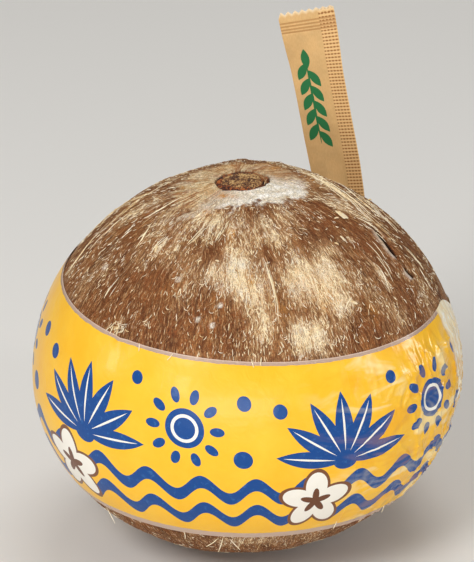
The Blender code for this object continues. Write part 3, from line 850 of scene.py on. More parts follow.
def film_reach(height):
    """Distances from the nut's axis to the film's inner face, for every whole degree of azimuth.

    The film is taut, so a level cut through it is the tight loop round the nut and the wrapper.
    """
    directions = np.radians(np.arange(360))
    spread = np.array([profile_radius(height) * lobes(a) for a in directions]) + FILM_GAP
    loop = np.stack([spread * np.cos(directions), spread * np.sin(directions)], axis=1)
    along = (WRAPPER_TOP.z - height) / -WRAPPER_DOWN.z
    if along > 0:
        middle, sideways, facing = wrapper_frame(min(along, WRAPPER_LENGTH))
        bulge, half = straw_opening(min(along, WRAPPER_LENGTH))
        corners = []
        for across in np.linspace(-half - SIDE_SEAL / 2, half + SIDE_SEAL / 2, 23):
            lift = paper_lift(min(half, abs(across + SIDE_SEAL / 2)), bulge, half) + 0.06 * MM
            corners += [middle + sideways * across + facing * lift,
                        middle + sideways * across - facing * lift]
        centre = sum(corners, Vector()) / len(corners)
        grown = np.array([(p + (p - centre).normalized() * FILM_SLACK * 0.7).to_2d() for p in corners])
        tuck = FILM_TUCK * max(0.0, along - WRAPPER_LENGTH - TUCK_START) / np.linalg.norm(grown, axis=1)
        loop = np.vstack([loop, grown * (1 - tuck[:, None])])
    across = np.stack([np.cos(directions), np.sin(directions)], axis=1)
    support = (loop @ across.T).max(axis=0)
    turned = np.cos(directions[:, None] - directions[None, :])
    taut = np.where(turned > 0.1, support[None, :] / np.maximum(turned, 0.1), 1.0).min(axis=1)
    eased = np.maximum.reduce([np.roll(taut, degrees) for degrees in (-2, -1, 0, 1, 2)])
    return np.where(eased > spread + 0.15 * MM, eased, taut)


def film_sag(azimuth):
    """How far the band's top edge sags on the right side."""
    turned = angle_between(azimuth, 0.0)
    sag = 0.0
    for depth, (start, full, still_full, end) in ((FILM_SAG, SAG_AZIMUTHS), (CORNER_SAG, CORNER_AZIMUTHS)):
        sag += depth * smooth(start, full, turned) * smooth(end, still_full, turned)
    return sag


def gathering(azimuth, share_up):
    """How far the film is gathered here: most at the right of the front, some behind."""
    gathered = hump(angle_between(azimuth, math.radians(GATHER_AZIMUTH)), math.radians(27))
    gathered *= 1 - 0.6 * smooth(0.55, 0.9, share_up) * smooth(math.radians(-22), math.radians(-40), azimuth)
    return max(gathered, 0.45 * hump(angle_between(azimuth, math.radians(118)), math.radians(40)))


def film_wrinkles(azimuth, share_up):
    """Creases of the shrunk film: strong on the right side, faint pleats along both edges elsewhere."""
    gathered = gathering(azimuth, share_up)
    edge = max(smooth(0.3, 0.0, share_up), smooth(0.72, 1.0, share_up))
    x, y, up = 9 * math.cos(azimuth), 9 * math.sin(azimuth), 7 * share_up
    warp = noise.noise_vector((x * 0.55, y * 0.55, up * 0.55))
    swirl = noise.noise((x + 1.5 * warp.x, y + 1.5 * warp.y, up * 0.8 + 1.5 * warp.z))
    crease = math.exp(-abs(swirl) / 0.07)
    second = noise.noise((2.1 * x + warp.y, 2.1 * y + warp.x, 1.2 * up + 4))
    small = math.exp(-abs(second) / 0.07)
    pleats = 0.5 + 0.5 * math.sin(22 * azimuth + 6 * noise.noise((x, y, 2)))
    height = gathered * (0.62 * MM * crease + 0.3 * MM * small + 0.55 * MM * (0.5 + swirl))
    height += gathered * edge * 0.35 * MM * pleats
    height *= 1 - 0.9 * smooth(0.86, 1.0, share_up)
    height += 0.03 * MM * edge * pleats + 0.1 * MM * (0.5 + noise.noise((x * 0.5, y * 0.5, up * 0.35)))
    flap = hump(angle_between(azimuth, math.radians(9)), math.radians(3)) * smooth(0.84, 1.0, share_up)
    nick = hump(angle_between(azimuth, math.radians(-127.5)), math.radians(1.6)) * smooth(0.93, 1.0, share_up)
    return height + 0.5 * MM * flap + 0.5 * MM * nick


def model_film(material):
    """A sheet rolled into a taut sleeve, finer where it wrinkles, with the film's thickness outside."""
    film = start_piece(bpy.ops.mesh.primitive_grid_add, "film_sleeve", x_subdivisions=FILM_COLUMNS,
                       y_subdivisions=FILM_ROWS, size=1)
    flat = np.empty(3 * len(film.data.vertices))
    film.data.vertices.foreach_get("co", flat)
    flat = flat.reshape(-1, 3) + 0.5
    shares = np.linspace(0, 1, 721)
    from_gathers = (shares * 360 + math.degrees(FILM_SEAM) - GATHER_AZIMUTH + 180) % 360 - 180
    closeness = 1 + 1.5 * np.exp(-((from_gathers / 45) ** 2))
    closeness = np.concatenate([[0], np.cumsum((closeness[1:] + closeness[:-1]) / 2)])
    round_share = np.interp(flat[:, 0], closeness / closeness[-1], shares)
    azimuth = FILM_SEAM + math.tau * round_share
    unsagged = FILM_BOTTOM + (SLEEVE_TOP - FILM_BOTTOM) * flat[:, 1]
    level = unsagged - np.array([film_sag(a) for a in azimuth]) * flat[:, 1]

    lowest = -40 * MM
    reaches = np.array([film_reach(lowest + i * FILM_STEP) for i in range(round(80 * MM / FILM_STEP))])
    degree = np.degrees(azimuth) % 360
    column = np.floor(degree).astype(int)
    aside = degree - column
    column %= 360
    beside = (column + 1) % 360
    reach = np.full(len(flat), NUT_RADIUS)
    for _ in range(6):
        height = level + reach * (FILM_SLOPE_X * np.cos(azimuth) + FILM_SLOPE_Y * np.sin(azimuth))
        row = np.floor((height - lowest) / FILM_STEP).astype(int)
        above = (height - lowest) / FILM_STEP - row
        low = reaches[row, column] * (1 - aside) + reaches[row, beside] * aside
        high = reaches[row + 1, column] * (1 - aside) + reaches[row + 1, beside] * aside
        reach = low * (1 - above) + high * above
    for i, vertex in enumerate(film.data.vertices):
        out = float(reach[i]) + film_wrinkles(float(azimuth[i]), float(flat[i, 1]))
        vertex.co = NUT_PLACE @ Vector((out * math.cos(azimuth[i]), out * math.sin(azimuth[i]), height[i]))
    give_attribute(film, "gathered", [gathering(float(a), float(up)) for a, up in zip(azimuth, flat[:, 1])])
    spots = np.stack([round_share * FILM_GIRTH, unsagged / MM], axis=1)
    lay_flat(film, spots)
    face_outwards(film, merge_within=0.01 * MM)
    wall = film.modifiers.new("film_thickness", "SOLIDIFY")
    wall.thickness = FILM_THICKNESS
    wall.offset = 1.0
    bpy.ops.object.modifier_apply(modifier=wall.name)
    finish_piece(film, material, "film_band")


# Materials

def shaved_shell_skin():
    """Dried coconut husk skin, shaved by a blade: matt brown, streaked with pale cut fibres."""
    material, tree, shader = new_material("shaved_husk_skin")
    position = add(tree, "TexCoord", output="Object")
    place = add(tree, "Mapping", {"Vector": position, "Location": (0, 0, NUT_CENTRE_HEIGHT),
                                  "Rotation": (0, -NUT_LEAN, 0), "Scale": (MM, MM, MM)},
                vector_type="TEXTURE")
    flat = add(tree, "VectorMath", {0: place, 1: (1, 1, 0)}, operation="MULTIPLY")
    distance = add(tree, "VectorMath", {0: flat}, operation="LENGTH")
    height = add(tree, "SeparateXYZ", {0: place}, output="Z")
    latitude = add(tree, "Math", {0: height, 1: distance}, operation="ARCTAN2")
    arc = add(tree, "Math", {0: latitude, 1: NUT_RADIUS / MM}, operation="MULTIPLY")
    rise = add(tree, "CombineXYZ", {"Z": arc})
    outward = add(tree, "VectorMath", {0: flat}, operation="NORMALIZE")
    drift = add(tree, "TexNoise", {"Vector": place, "Scale": 1 / 5, "Detail": 1.0}, output="Color")
    sway = add(tree, "VectorMath", {0: drift, 1: (2.4, 2.4, 0), 2: rise}, operation="MULTIPLY_ADD")
    near_eye = add(tree, "MapRange",
                   {"Value": latitude, "From Min": math.radians(50), "From Max": math.radians(60)},
                   interpolation_type="SMOOTHSTEP")

    def fibres(width, length, detail, seed):
        """Streaks along the nut, as wide near the eye as at the film."""
        layers = []
        for lay_radius in (52.0, 24.0):
            lay = add(tree, "VectorMath", {0: outward, 1: (lay_radius,) * 3, 2: sway},
                      operation="MULTIPLY_ADD")
            scaled = add(tree, "Mapping", {"Vector": lay, "Location": (seed, seed, seed),
                                           "Scale": (1 / width, 1 / width, 1 / length)})
            layers.append(add(tree, "TexNoise",
                              {"Vector": scaled, "Scale": 1.0, "Detail": detail, "Roughness": 0.6}))
        return add(tree, "Mix", {0: near_eye, 2: layers[0], 3: layers[1]})

    fine = fibres(0.32, 3.2, 1.0, 0.0)
    middling = fibres(0.9, 7.0, 2.0, 31.0)
    broad = fibres(3.2, 18.0, 2.0, 67.0)
    pale, white, tan, calm, ochre, hollow_shade = (
        add(tree, "Attribute", attribute_name=name, output="Fac")
        for name in ("pale", "white", "tan", "calm", "ochre", "hollow_shade"))
    mottle = add(tree, "TexNoise", {"Vector": place, "Scale": 0.55, "Detail": 3.0, "Roughness": 0.6})
    speck = add(tree, "TexNoise", {"Vector": place, "Scale": 2.4, "Detail": 2.0, "Roughness": 0.7})

    brown = add(tree, "ValToRGB", {"Fac": broad}, stops=((0.3, "5A2D12"), (0.5, "774422"), (0.72, "965E30")))
    reddish = add(tree, "Mix", {0: calm, 6: brown, 7: linear("7C4826")}, data_type="RGBA")
    shade = add(tree, "MapRange",
                {"Value": middling, "From Min": 0.35, "From Max": 0.65, "To Min": 0.6, "To Max": 1.25})
    streaked = add(tree, "Mix", {0: 1.0, 6: reddish, 7: shade}, data_type="RGBA", blend_type="MULTIPLY")

    glow = add(tree, "Math", {0: pale, 1: 0.6}, operation="MULTIPLY")
    streaked = add(tree, "Mix", {0: glow, 6: streaked, 7: linear("C8A47C")}, data_type="RGBA")
    bias = add(tree, "Math", {0: pale, 1: -0.24, 2: 0.645}, operation="MULTIPLY_ADD")
    bias = add(tree, "Math", {0: calm, 1: 0.05, 2: bias}, operation="MULTIPLY_ADD")
    bias_top = add(tree, "Math", {0: bias, 1: 0.1}, operation="ADD")
    line_start = add(tree, "Math", {0: bias, 1: 0.16}, operation="SUBTRACT")
    lines = add(tree, "MapRange", {"Value": fine, "From Min": line_start, "From Max": bias, "To Max": 0.65})
    streaked = add(tree, "Mix", {0: lines, 6: streaked, 7: linear("B78A5A")}, data_type="RGBA")
    cut = add(tree, "MapRange", {"Value": fine, "From Min": bias, "From Max": bias_top},
              interpolation_type="SMOOTHSTEP")
    cut_wide = add(tree, "MapRange", {"Value": middling, "From Min": bias, "From Max": bias_top},
                   interpolation_type="SMOOTHSTEP")
    cut_wide = add(tree, "Math", {0: cut_wide, 1: 0.55}, operation="MULTIPLY")
    cut_all = add(tree, "Math", {0: cut, 1: cut_wide}, operation="MAXIMUM")
    cream = add(tree, "Mix", {0: mottle, 6: linear("F6E8C8"), 7: linear("D8B484")}, data_type="RGBA")
    bleached = add(tree, "TexNoise", {"Vector": place, "Scale": BLEACH_SCALE, "Detail": 2.0})
    bleached = add(tree, "MapRange", {"Value": bleached, "From Min": 0.48, "From Max": 0.66})
    cream = add(tree, "Mix", {0: bleached, 6: cream, 7: linear("E2D6C2")}, data_type="RGBA")
    golden = add(tree, "Mix", {0: ochre, 6: cream, 7: linear("C9944C")}, data_type="RGBA")
    fibrous = add(tree, "Mix", {0: cut_all, 6: streaked, 7: golden}, data_type="RGBA")

    cloud = add(tree, "TexNoise", {"Vector": place, "Scale": 0.42, "Detail": 4.0, "Roughness": 0.72})
    cloud = add(tree, "MapRange", {"Value": cloud, "From Min": 0.36, "From Max": 0.62})
    whitish = add(tree, "Mix", {0: cloud, 6: linear("D9C9AC"), 7: linear("FCF6EC")}, data_type="RGBA")
    tawny = add(tree, "Mix", {0: cloud, 6: linear("BC8E56"), 7: linear("F5E2B8")}, data_type="RGBA")
    rusty = add(tree, "Math", {0: broad, 1: middling}, operation="ADD")
    rusty = add(tree, "MapRange", {"Value": rusty, "From Min": 0.95, "From Max": 1.15, "To Max": 0.85})
    tawny = add(tree, "Mix", {0: rusty, 6: tawny, 7: linear("96582C")}, data_type="RGBA")
    with_tan = add(tree, "Mix", {0: tan, 6: fibrous, 7: tawny}, data_type="RGBA")
    with_white = add(tree, "Mix", {0: white, 6: with_tan, 7: whitish}, data_type="RGBA")
    stain = add(tree, "Math", {0: ochre, 1: cloud}, operation="MULTIPLY")
    stained = add(tree, "Mix", {0: stain, 6: with_white, 7: linear("C88A42")}, data_type="RGBA")
    dust = add(tree, "MapRange",
               {"Value": speck, "From Min": 0.38, "From Max": 0.62, "To Min": 0.66, "To Max": 1.22})
    colour = add(tree, "Mix", {0: 1.0, 6: stained, 7: dust}, data_type="RGBA", blend_type="MULTIPLY")
    # painted shade: the split and the eye's wall are darkened almost to black
    colour = add(tree, "Mix", {0: hollow_shade, 6: colour, 7: linear("1C0B05")}, data_type="RGBA")

    relief = add(tree, "Math", {0: fine, 1: middling}, operation="ADD")
    relief = add(tree, "Math", {0: speck, 1: 0.5, 2: relief}, operation="MULTIPLY_ADD")
    bump = add(tree, "Bump", {"Height": relief, "Distance": 0.16 * MM, "Strength": 0.8})
    gloss = add(tree, "MapRange",
                {"Value": middling, "From Min": 0.3, "From Max": 0.7, "To Min": 0.62, "To Max": 0.82})
    fill(tree, shader, {"Base Color": colour, "Normal": bump, "Roughness": gloss, "IOR": 1.45,
                        "Specular IOR Level": 0.2})
    return material


def cut_fibre():
    """Loose coconut fibre: dry, cream to straw-brown, each strand its own tone."""
    material, tree, shader = new_material("cut_coconut_fibre")
    tone = add(tree, "Attribute", attribute_name="tone", output="Fac")
    position = add(tree, "TexCoord", output="Object")
    patchy = add(tree, "TexNoise", {"Vector": position, "Scale": 900.0, "Detail": 1.0})
    shifted = add(tree, "Math", {0: patchy, 1: 0.5, 2: tone}, operation="MULTIPLY_ADD")
    colours = []
    for shades in (("6E4020", "B08050", "EACB96", "FBECC8"), ("70421F", "AC805A", "DCC8A8", "F7EDDA")):
        colours.append(add(tree, "ValToRGB", {"Fac": shifted},
                           stops=tuple(zip((0.3, 0.6, 0.82, 1.0), shades))))
    place = add(tree, "Mapping", {"Vector": position, "Scale": (1 / MM, 1 / MM, 1 / MM)})
    bleached = add(tree, "TexNoise",
                   {"Vector": place, "Scale": BLEACH_SCALE, "Detail": 3.0, "Roughness": 0.7})
    bleached = add(tree, "MapRange", {"Value": bleached, "From Min": 0.46, "From Max": 0.64, "To Max": 0.8})
    colour = add(tree, "Mix", {0: bleached, 6: colours[0], 7: colours[1]}, data_type="RGBA")
    fill(tree, shader, {"Base Color": colour, "Roughness": 0.75, "Specular IOR Level": 0.2})
    return material


def plug_fibre():
    """The fibrous eye plug: coarse tan and brown grains inside a dark red-brown rim, partly painted shade,
    widest at the front left.
    """
    material, tree, shader = new_material("eye_plug_fibre")
    position = add(tree, "TexCoord", output="Object")
    rim_and_shade = add(tree, "Attribute", attribute_name="rim_and_shade", output="Fac")
    grain = add(tree, "TexNoise",
                {"Vector": position, "Scale": 1 / (0.62 * MM), "Detail": 3.0, "Roughness": 0.7})
    drift = add(tree, "TexNoise", {"Vector": position, "Scale": 1 / (2.4 * MM), "Detail": 1.0})
    spread = add(tree, "Math", {0: drift, 1: 0.5, 2: grain}, operation="MULTIPLY_ADD")
    spread = add(tree, "Math", {0: spread, 1: 0.25}, operation="SUBTRACT")
    specks = add(tree, "ValToRGB", {"Fac": spread},
                 stops=((0.4, "3C1E10"), (0.48, "6E4526"), (0.55, "98693A"), (0.62, "CBA76E")))
    dark_rim_and_shade_colour = add(tree, "ValToRGB", {"Fac": spread},
                stops=((0.42, "2C1208"), (0.52, "682F14"), (0.62, "B4662C")))
    # the rim's dark colour is partly its own and partly painted shade
    colour = add(tree, "Mix", {0: rim_and_shade, 6: specks, 7: dark_rim_and_shade_colour}, data_type="RGBA")
    bump = add(tree, "Bump", {"Height": grain, "Distance": 0.3 * MM, "Strength": 0.8})
    fill(tree, shader, {"Base Color": colour, "Normal": bump, "Roughness": 0.85})
    return material


def blots(tree, place, shapes, pointed=False):
    """Nearness to a set of ellipses or pointed leaves: under 1 inside any of them.

    Each shape is x, y, half its length, half its width and its turn in degrees.
    """
    nearest = 1000.0
    for x, y, half_long, half_wide, turn in shapes:
        local = add(tree, "Mapping", {"Vector": place, "Location": (x, y, 0),
                                      "Rotation": (0, 0, math.radians(turn)),
                                      "Scale": (half_long, half_wide, 1)}, vector_type="TEXTURE")
        if pointed:
            local = add(tree, "VectorMath", {0: local}, operation="ABSOLUTE")
            along, aside = add(tree, "SeparateXYZ", {0: local}).node.outputs[:2]
            away = add(tree, "Math", {0: along, 1: along, 2: aside}, operation="MULTIPLY_ADD")
        else:
            away = add(tree, "VectorMath", {0: local}, operation="LENGTH")
        nearest = add(tree, "Math", {0: nearest, 1: away}, operation="MINIMUM")
    return nearest


def spokes(x, y, first, last, count, reach, half_long, half_wide):
    """Ellipses like petals or leaflets, turned round a point."""
    shapes = []
    for i in range(count):
        turn = first + (last - first) * i / (count - 1)
        aside, up = reach * math.cos(math.radians(turn)), reach * math.sin(math.radians(turn))
        shapes.append((x + aside, y + up, half_long, half_wide, turn))
    return shapes


def printed_film():
    """Clear shrink film with an opaque gravure print on its back: very glossy, the margins left clear."""
    material, tree, shader = new_material("gravure_printed_shrink_film")
    spot = add(tree, "UVMap")
    around, up = add(tree, "SeparateXYZ", {0: spot}).node.outputs[:2]
    cell = FILM_GIRTH / PRINT_CELLS
    in_cell = add(tree, "Math", {0: around, 1: cell, 2: 0.0}, operation="WRAP")
    in_cell = add(tree, "Math", {0: in_cell, 1: cell / 2}, operation="SUBTRACT")
    place = add(tree, "CombineXYZ", {"X": in_cell, "Y": up})

    fronds = blots(tree, place, spokes(*FROND_FOOT, 8, 172, 7, 9.8, 9.8, 2.6), pointed=True)
    heart = blots(tree, place, [(-16, -0.4, 3.6, 3.0, 0)])
    sun = [(*SUN_MIDDLE, 5.4, 5.4, 0)] + spokes(*SUN_MIDDLE, 0, 324, 10, 8.9, 2.0, 1.25)
    dots = [(31.5, 17.0, 2.0, 2.0, 0), (-33.5, 15.0, 2.0, 2.0, 0), (30.5, 1.5, 2.6, 2.6, 0),
            (0.5, 19.5, 1.7, 1.7, 0)]
    blue_near = add(tree, "Math", {0: fronds, 1: heart}, operation="MINIMUM")
    blue_near = add(tree, "Math", {0: blue_near, 1: blots(tree, place, sun + dots)}, operation="MINIMUM")
    blue = add(tree, "Math", {0: blue_near, 1: 1.0}, operation="LESS_THAN")
    in_sun = blots(tree, place, [(*SUN_MIDDLE, 3.4, 3.4, 0)])
    sun_ring = add(tree, "Math", {0: in_sun, 1: 1.0, 2: 0.13}, operation="COMPARE")
    phase = add(tree, "Math", {0: in_cell, 1: math.tau * WAVES_IN_CELL / cell}, operation="MULTIPLY")
    sine = add(tree, "Math", {0: phase}, operation="SINE")
    for rest_height in WAVE_HEIGHTS:
        line = add(tree, "Math", {0: sine, 1: WAVE_SWING, 2: rest_height}, operation="MULTIPLY_ADD")
        stroke = add(tree, "Math", {0: up, 1: line, 2: WAVE_HALF_STROKE}, operation="COMPARE")
        blue = add(tree, "Math", {0: blue, 1: stroke}, operation="MAXIMUM")
    petals = blots(tree, place, spokes(*FLOWER_MIDDLE, 18, 306, 5, 5.4, 4.8, 3.2))
    halo = add(tree, "Math", {0: petals, 1: 1.25}, operation="LESS_THAN")
    petal = add(tree, "Math", {0: petals, 1: 1.0}, operation="LESS_THAN")
    stamens = blots(tree, place, spokes(*FLOWER_MIDDLE, 18, 306, 5, 2.1, 2.6, 1.0))
    stamens = add(tree, "Math", {0: stamens, 1: 1.0}, operation="LESS_THAN")

    cloudy = add(tree, "TexNoise", {"Vector": spot, "Scale": 0.09, "Detail": 3.0, "Roughness": 0.6})
    yellow = add(tree, "Mix", {0: cloudy, 6: linear("F8B30E"), 7: linear("FECD3E")}, data_type="RGBA")
    thin = add(tree, "TexNoise", {"Vector": spot, "Scale": 0.55, "Detail": 3.0, "Roughness": 0.65})
    thin = add(tree, "MapRange", {"Value": thin, "From Min": 0.56, "From Max": 0.7, "To Max": 0.5})
    deep = add(tree, "Mix", {0: thin, 6: linear("00458C"), 7: linear("3674B4")}, data_type="RGBA")
    inked = add(tree, "Mix", {0: blue, 6: yellow, 7: deep}, data_type="RGBA")
    beyond = add(tree, "Math", {0: around, 1: SEAM_MIDDLE}, operation="SUBTRACT")
    from_seam = add(tree, "Math", {0: beyond, 1: FILM_GIRTH / 2}, operation="PINGPONG")
    # painted highlights and shade on the gathered film near the seam: pale smears stand for highlights on the
    # creases, deeper orange for shade in the folds, less over the blue ink
    fold_light_zone = add(tree, "MapRange", {"Value": from_seam, "From Min": 74.0, "From Max": 44.0})
    fold_place = add(tree, "Mapping", {"Vector": spot, "Rotation": (0, 0, 0.35), "Scale": (0.05, 0.13, 1)})
    fold_light_pattern = add(tree, "TexNoise",
                {"Vector": fold_place, "Scale": 1.0, "Detail": 3.0, "Roughness": 0.6, "Distortion": 0.7})
    for start, end, share, shade in ((0.53, 0.63, 0.6, "FFF0BC"), (0.46, 0.36, 0.5, "F0A40C")):
        painted_fold_light = add(tree, "MapRange", {"Value": fold_light_pattern, "From Min": start, "From Max": end, "To Max": share})
        painted_fold_light = add(tree, "Math", {0: painted_fold_light, 1: fold_light_zone}, operation="MULTIPLY")
        not_blue = add(tree, "Math", {0: blue, 1: -0.6, 2: 1.0}, operation="MULTIPLY_ADD")
        painted_fold_light = add(tree, "Math", {0: painted_fold_light, 1: not_blue}, operation="MULTIPLY")
        inked = add(tree, "Mix", {0: painted_fold_light, 6: inked, 7: linear(shade)}, data_type="RGBA")
    ribs = blots(tree, place, spokes(*FROND_FOOT, 8, 172, 7, 10.4, 7.4, 0.3), pointed=True)
    light_lines = add(tree, "Math", {0: ribs, 1: 1.0}, operation="LESS_THAN")
    light_lines = add(tree, "Math", {0: light_lines, 1: sun_ring}, operation="MAXIMUM")
    for mask, shade in ((light_lines, "F6F1E6"), (halo, "7A4A2C"), (petal, "F6F1E6"), (stamens, "6B3E22")):
        inked = add(tree, "Mix", {0: mask, 6: inked, 7: linear(shade)}, data_type="RGBA")

    middle, half_print = (PRINT_TOP + PRINT_BOTTOM) / 2, (PRINT_TOP - PRINT_BOTTOM) / 2
    wobble = add(tree, "TexNoise", {"Vector": spot, "Scale": 0.4, "Detail": 1.0})
    reach = add(tree, "Math", {0: wobble, 1: 0.4, 2: half_print - 0.2}, operation="MULTIPLY_ADD")
    in_print = add(tree, "Math", {0: up, 1: middle, 2: reach}, operation="COMPARE")
    tapered = add(tree, "MapRange", {"Value": up, "From Min": PRINT_BOTTOM, "From Max": PRINT_TOP,
                                     "To Min": -0.8 * SEAM_HALF_WIDTH, "To Max": -SEAM_HALF_WIDTH})
    past_seam = add(tree, "Math", {0: from_seam, 1: tapered}, operation="ADD")
    past_seam = add(tree, "Math", {0: wobble, 1: 2.0, 2: past_seam}, operation="MULTIPLY_ADD")
    off_seam = add(tree, "MapRange", {"Value": past_seam, "From Min": 0.6, "From Max": 1.6})
    opaque = add(tree, "Math", {0: in_print, 1: off_seam}, operation="MULTIPLY")
    golden_share = add(tree, "MapRange",
                       {"Value": up, "From Min": 22.0, "From Max": 6.0, "To Min": 0.3, "To Max": 0.95})
    crinkle_place = add(tree, "Mapping", {"Vector": spot, "Rotation": (0, 0, 0.5), "Scale": (0.5, 0.22, 1)})
    crinkle = add(tree, "TexNoise", {"Vector": crinkle_place, "Scale": 1.0, "Detail": 3.0,
                                     "Roughness": 0.65, "Distortion": 0.8})
    golden = add(tree, "MapRange", {"Value": crinkle, "From Min": 0.56, "From Max": 0.44})
    golden = add(tree, "Math", {0: golden, 1: golden_share}, operation="MULTIPLY")
    seam = add(tree, "Mix", {0: golden, 6: linear("FFF3D0"), 7: linear("EEB85C")}, data_type="RGBA")
    glint = add(tree, "MapRange", {"Value": crinkle, "From Min": 0.58, "From Max": 0.64})
    seam = add(tree, "Mix", {0: glint, 6: seam, 7: linear("FFFEF8")}, data_type="RGBA")
    see_through = add(tree, "Mix", {0: off_seam, 6: seam, 7: linear("EBD0BC")}, data_type="RGBA")
    colour = add(tree, "Mix", {0: opaque, 6: see_through, 7: inked}, data_type="RGBA")
    # painted highlight: the top cut edge is made more opaque in the pale clear colour, so it shows as a light
    # line; the bottom margin is made a little more opaque too
    edge_opacity_with_highlight = add(tree, "MapRange", {"Value": up, "From Min": SLEEVE_TOP / MM - 0.3,
                                      "From Max": SLEEVE_TOP / MM - 0.1, "To Min": 0.36, "To Max": 0.62})
    bottom_edge = add(tree, "MapRange", {"Value": up, "From Min": -20.0, "From Max": -25.0, "To Max": 0.22})
    edge_opacity_with_highlight = add(tree, "Math", {0: edge_opacity_with_highlight, 1: bottom_edge}, operation="ADD")
    clear = add(tree, "MapRange", {"Value": off_seam, "To Min": 0.95, "To Max": edge_opacity_with_highlight})
    alpha = add(tree, "Mix", {0: opaque, 2: clear, 3: 1.0})

    ripple = add(tree, "TexNoise",
                 {"Vector": spot, "Scale": 0.28, "Detail": 3.0, "Roughness": 0.55, "Distortion": 0.6})
    bump = add(tree, "Bump", {"Height": ripple, "Distance": 0.5 * MM, "Strength": 0.3})
    gathered = add(tree, "Attribute", attribute_name="gathered", output="Fac")
    gloss = add(tree, "MapRange", {"Value": gathered, "To Min": 0.3, "To Max": 0.14})
    fill(tree, shader, {"Base Color": colour, "Alpha": alpha, "Normal": bump, "Roughness": gloss,
                        "IOR": 1.5, "Specular IOR Level": 0.3, "Coat Weight": 0.1,
                        "Coat Roughness": 0.06})
    return material


def kraft_paper():
    """Light brown kraft paper: matt, with short fibres; the dots and lines that the sealing jaws pressed in
    carry painted shade, and the paper between the dots a painted highlight.
    """
    material, tree, shader = new_material("kraft_wrapping_paper")
    spot = add(tree, "UVMap")
    position = add(tree, "TexCoord", output="Object")
    fibre_place = add(tree, "Mapping", {"Vector": spot, "Scale": (3.2, 0.9, 1)})
    fibres = add(tree, "TexNoise", {"Vector": fibre_place, "Scale": 1.0, "Detail": 4.0, "Roughness": 0.65})
    mottle = add(tree, "TexNoise", {"Vector": position, "Scale": 180.0, "Detail": 3.0})
    paper = add(tree, "Mix", {0: fibres, 6: linear("CB9B58"), 7: linear("E6C088")}, data_type="RGBA")
    shade = add(tree, "MapRange",
                {"Value": mottle, "From Min": 0.3, "From Max": 0.7, "To Min": 0.9, "To Max": 1.08})
    paper = add(tree, "Mix", {0: 1.0, 6: paper, 7: shade}, data_type="RGBA", blend_type="MULTIPLY")

    across, along = add(tree, "SeparateXYZ", {0: spot}).node.outputs[:2]
    into_seal = add(tree, "Math", {0: across, 1: 2 * TUBE_HALF_WIDTH / MM}, operation="SUBTRACT")
    in_seal = add(tree, "MapRange", {"Value": into_seal, "From Min": 0.0, "From Max": 0.3})
    waves = []
    for distance in (into_seal, along):
        phase = add(tree, "Math", {0: distance, 1: math.tau / DOT_PITCH}, operation="MULTIPLY")
        sine = add(tree, "Math", {0: phase}, operation="SINE")
        waves.append(add(tree, "Math", {0: sine, 1: 0.5, 2: 0.5}, operation="MULTIPLY_ADD"))
    row = add(tree, "Math", {0: waves[0], 1: 0.5, 2: 0.5}, operation="MULTIPLY_ADD")
    dot = add(tree, "Math", {0: row, 1: waves[1]}, operation="MULTIPLY")
    dot = add(tree, "MapRange", {"Value": dot, "From Min": 0.3, "From Max": 0.75})
    # painted shade and highlight: the side seal's embossed dots are dark, the paper between them lighter
    seal_dots_shade_and_highlight = add(tree, "Mix", {0: dot, 6: linear("E8BD80"), 7: linear("9A6228")}, data_type="RGBA")
    colour = add(tree, "Mix", {0: in_seal, 6: paper, 7: seal_dots_shade_and_highlight}, data_type="RGBA")

    # painted shade in the end seals' crimp lines
    crimp_line_shade = 0.0
    for line in CRIMP_LINES:
        near = add(tree, "Math", {0: along, 1: line, 2: 0.27}, operation="COMPARE")
        crimp_line_shade = add(tree, "Math", {0: crimp_line_shade, 1: near}, operation="MAXIMUM")
    crimp_line_shade = add(tree, "Math", {0: crimp_line_shade, 1: 0.6}, operation="MULTIPLY")
    colour = add(tree, "Mix", {0: crimp_line_shade, 6: colour, 7: linear("A87238")}, data_type="RGBA")
    pale_end = add(tree, "MapRange", {"Value": along, "From Min": 0.9, "From Max": 0.2, "To Max": 0.7})
    colour = add(tree, "Mix", {0: pale_end, 6: colour, 7: linear("F2DDB8")}, data_type="RGBA")

    stem = blots(tree, spot, [(5.3, 27.5, 13.0, 0.34, 90)])
    leaves = []
    for i in range(5):
        leaves.append((3.5, 18.0 + 4.7 * i, 3.0, 1.3, 122))
        leaves.append((7.1, 20.2 + 4.7 * i, 3.0, 1.3, 58))
    leaves.append((5.3, 14.2, 3.2, 1.3, 90))
    sprig = add(tree, "Math", {0: stem, 1: blots(tree, spot, leaves, pointed=True)}, operation="MINIMUM")
    green = add(tree, "Math", {0: sprig, 1: 1.0}, operation="LESS_THAN")
    colour = add(tree, "Mix", {0: green, 6: colour, 7: linear("14703A")}, data_type="RGBA")
    bump = add(tree, "Bump", {"Height": fibres, "Distance": 0.05 * MM, "Strength": 0.6})
    fill(tree, shader, {"Base Color": colour, "Normal": bump, "Roughness": 0.72})
    return material


# Studio

def place_camera():
    data = bpy.data.cameras.new("camera")
    data.lens = CAMERA_LENS
    camera = bpy.data.objects.new("camera", data)
    bpy.context.collection.objects.link(camera)
    out = Vector((0, -math.cos(CAMERA_ELEVATION), math.sin(CAMERA_ELEVATION)))
    camera.location = Vector((0, 0, NUT_CENTRE_HEIGHT)) + out * CAMERA_DISTANCE
    camera.rotation_euler = (math.pi / 2 - CAMERA_ELEVATION + AIM_ABOVE_NUT, 0, AIM_LEFT_OF_NUT)
    bpy.context.scene.camera = camera


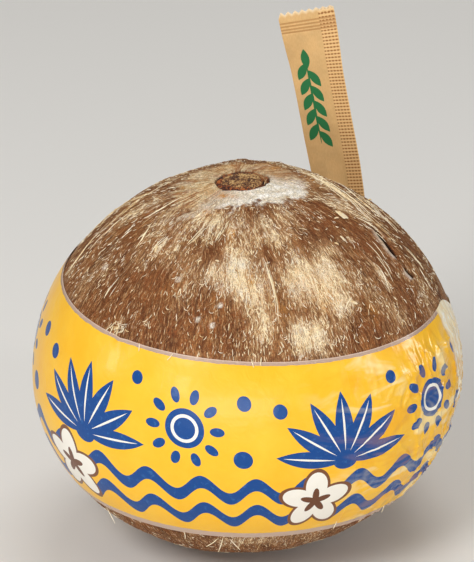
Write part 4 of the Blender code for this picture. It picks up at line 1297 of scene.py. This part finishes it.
def place_softbox(name, place, size, power, gleam_only=False):
    """An area light aimed at the object; one that only gleams lights nothing but glossy surfaces."""
    data = bpy.data.lights.new(name, "AREA")
    data.shape = "RECTANGLE"
    data.size, data.size_y = size
    data.energy = power
    light = bpy.data.objects.new(name, data)
    light.location = place
    aim = Vector((0, 0, NUT_CENTRE_HEIGHT)) - Vector(place)
    light.rotation_euler = aim.to_track_quat("-Z", "Y").to_euler()
    light.visible_camera = False
    light.visible_diffuse = not gleam_only
    bpy.context.collection.objects.link(light)


def set_up_studio():
    floor = start_piece(bpy.ops.mesh.primitive_plane_add, "floor", size=6)
    material, tree, shader = new_material("pale_backdrop")
    fill(tree, shader, {"Base Color": linear("ECEAE6"), "Roughness": 0.9})
    floor.data.materials.append(material)
    world = bpy.data.worlds.new("studio")
    world.use_nodes = True
    sky = world.node_tree.nodes["Background"]
    fill(world.node_tree, sky, {"Color": linear("F6F4F0"), "Strength": 0.32})
    bpy.context.scene.world = world
    bpy.context.scene.view_settings.view_transform = "Standard"
    place_softbox("key_softbox", (-0.5, -0.85, 0.9), (0.45, 0.45), 8.5)
    place_softbox("right_strip_softbox", (0.95, -0.5, 0.45), (0.16, 0.9), 2.0)
    place_softbox("top_softbox", (0.1, 0.3, 1.1), (0.6, 0.4), 3.0)
    place_softbox("low_front_softbox", (-0.1, -1.25, 0.15), (0.9, 0.25), 4.2)
    place_softbox("right_gleam", (1.0, 0.05, 0.3), (0.14, 0.5), 2.4, gleam_only=True)
    place_softbox("left_gleam", (-0.9, -0.3, 0.36), (0.1, 0.3), 1.0, gleam_only=True)
    place_softbox("left_front_gleam", (-0.48, -0.84, 0.3), (0.12, 0.2), 0.8, gleam_only=True)


place_camera()
set_up_studio()
model_nut(shaved_shell_skin())
model_plug(plug_fibre())
model_wrapper(kraft_paper())
model_film(printed_film())
fibre = cut_fibre()
for name, seed in (("front", 21), ("more", 22), ("again", 24)):
    shaved_fibres("shaved_fibres_" + name, 7000, math.radians(24), math.radians(79), seed, fibre)
shaved_fibres("shaved_fibres_below", 4500, math.radians(-75), math.radians(-33), 23, fibre)
long_fibres(fibre)
torn_flakes(fibre)
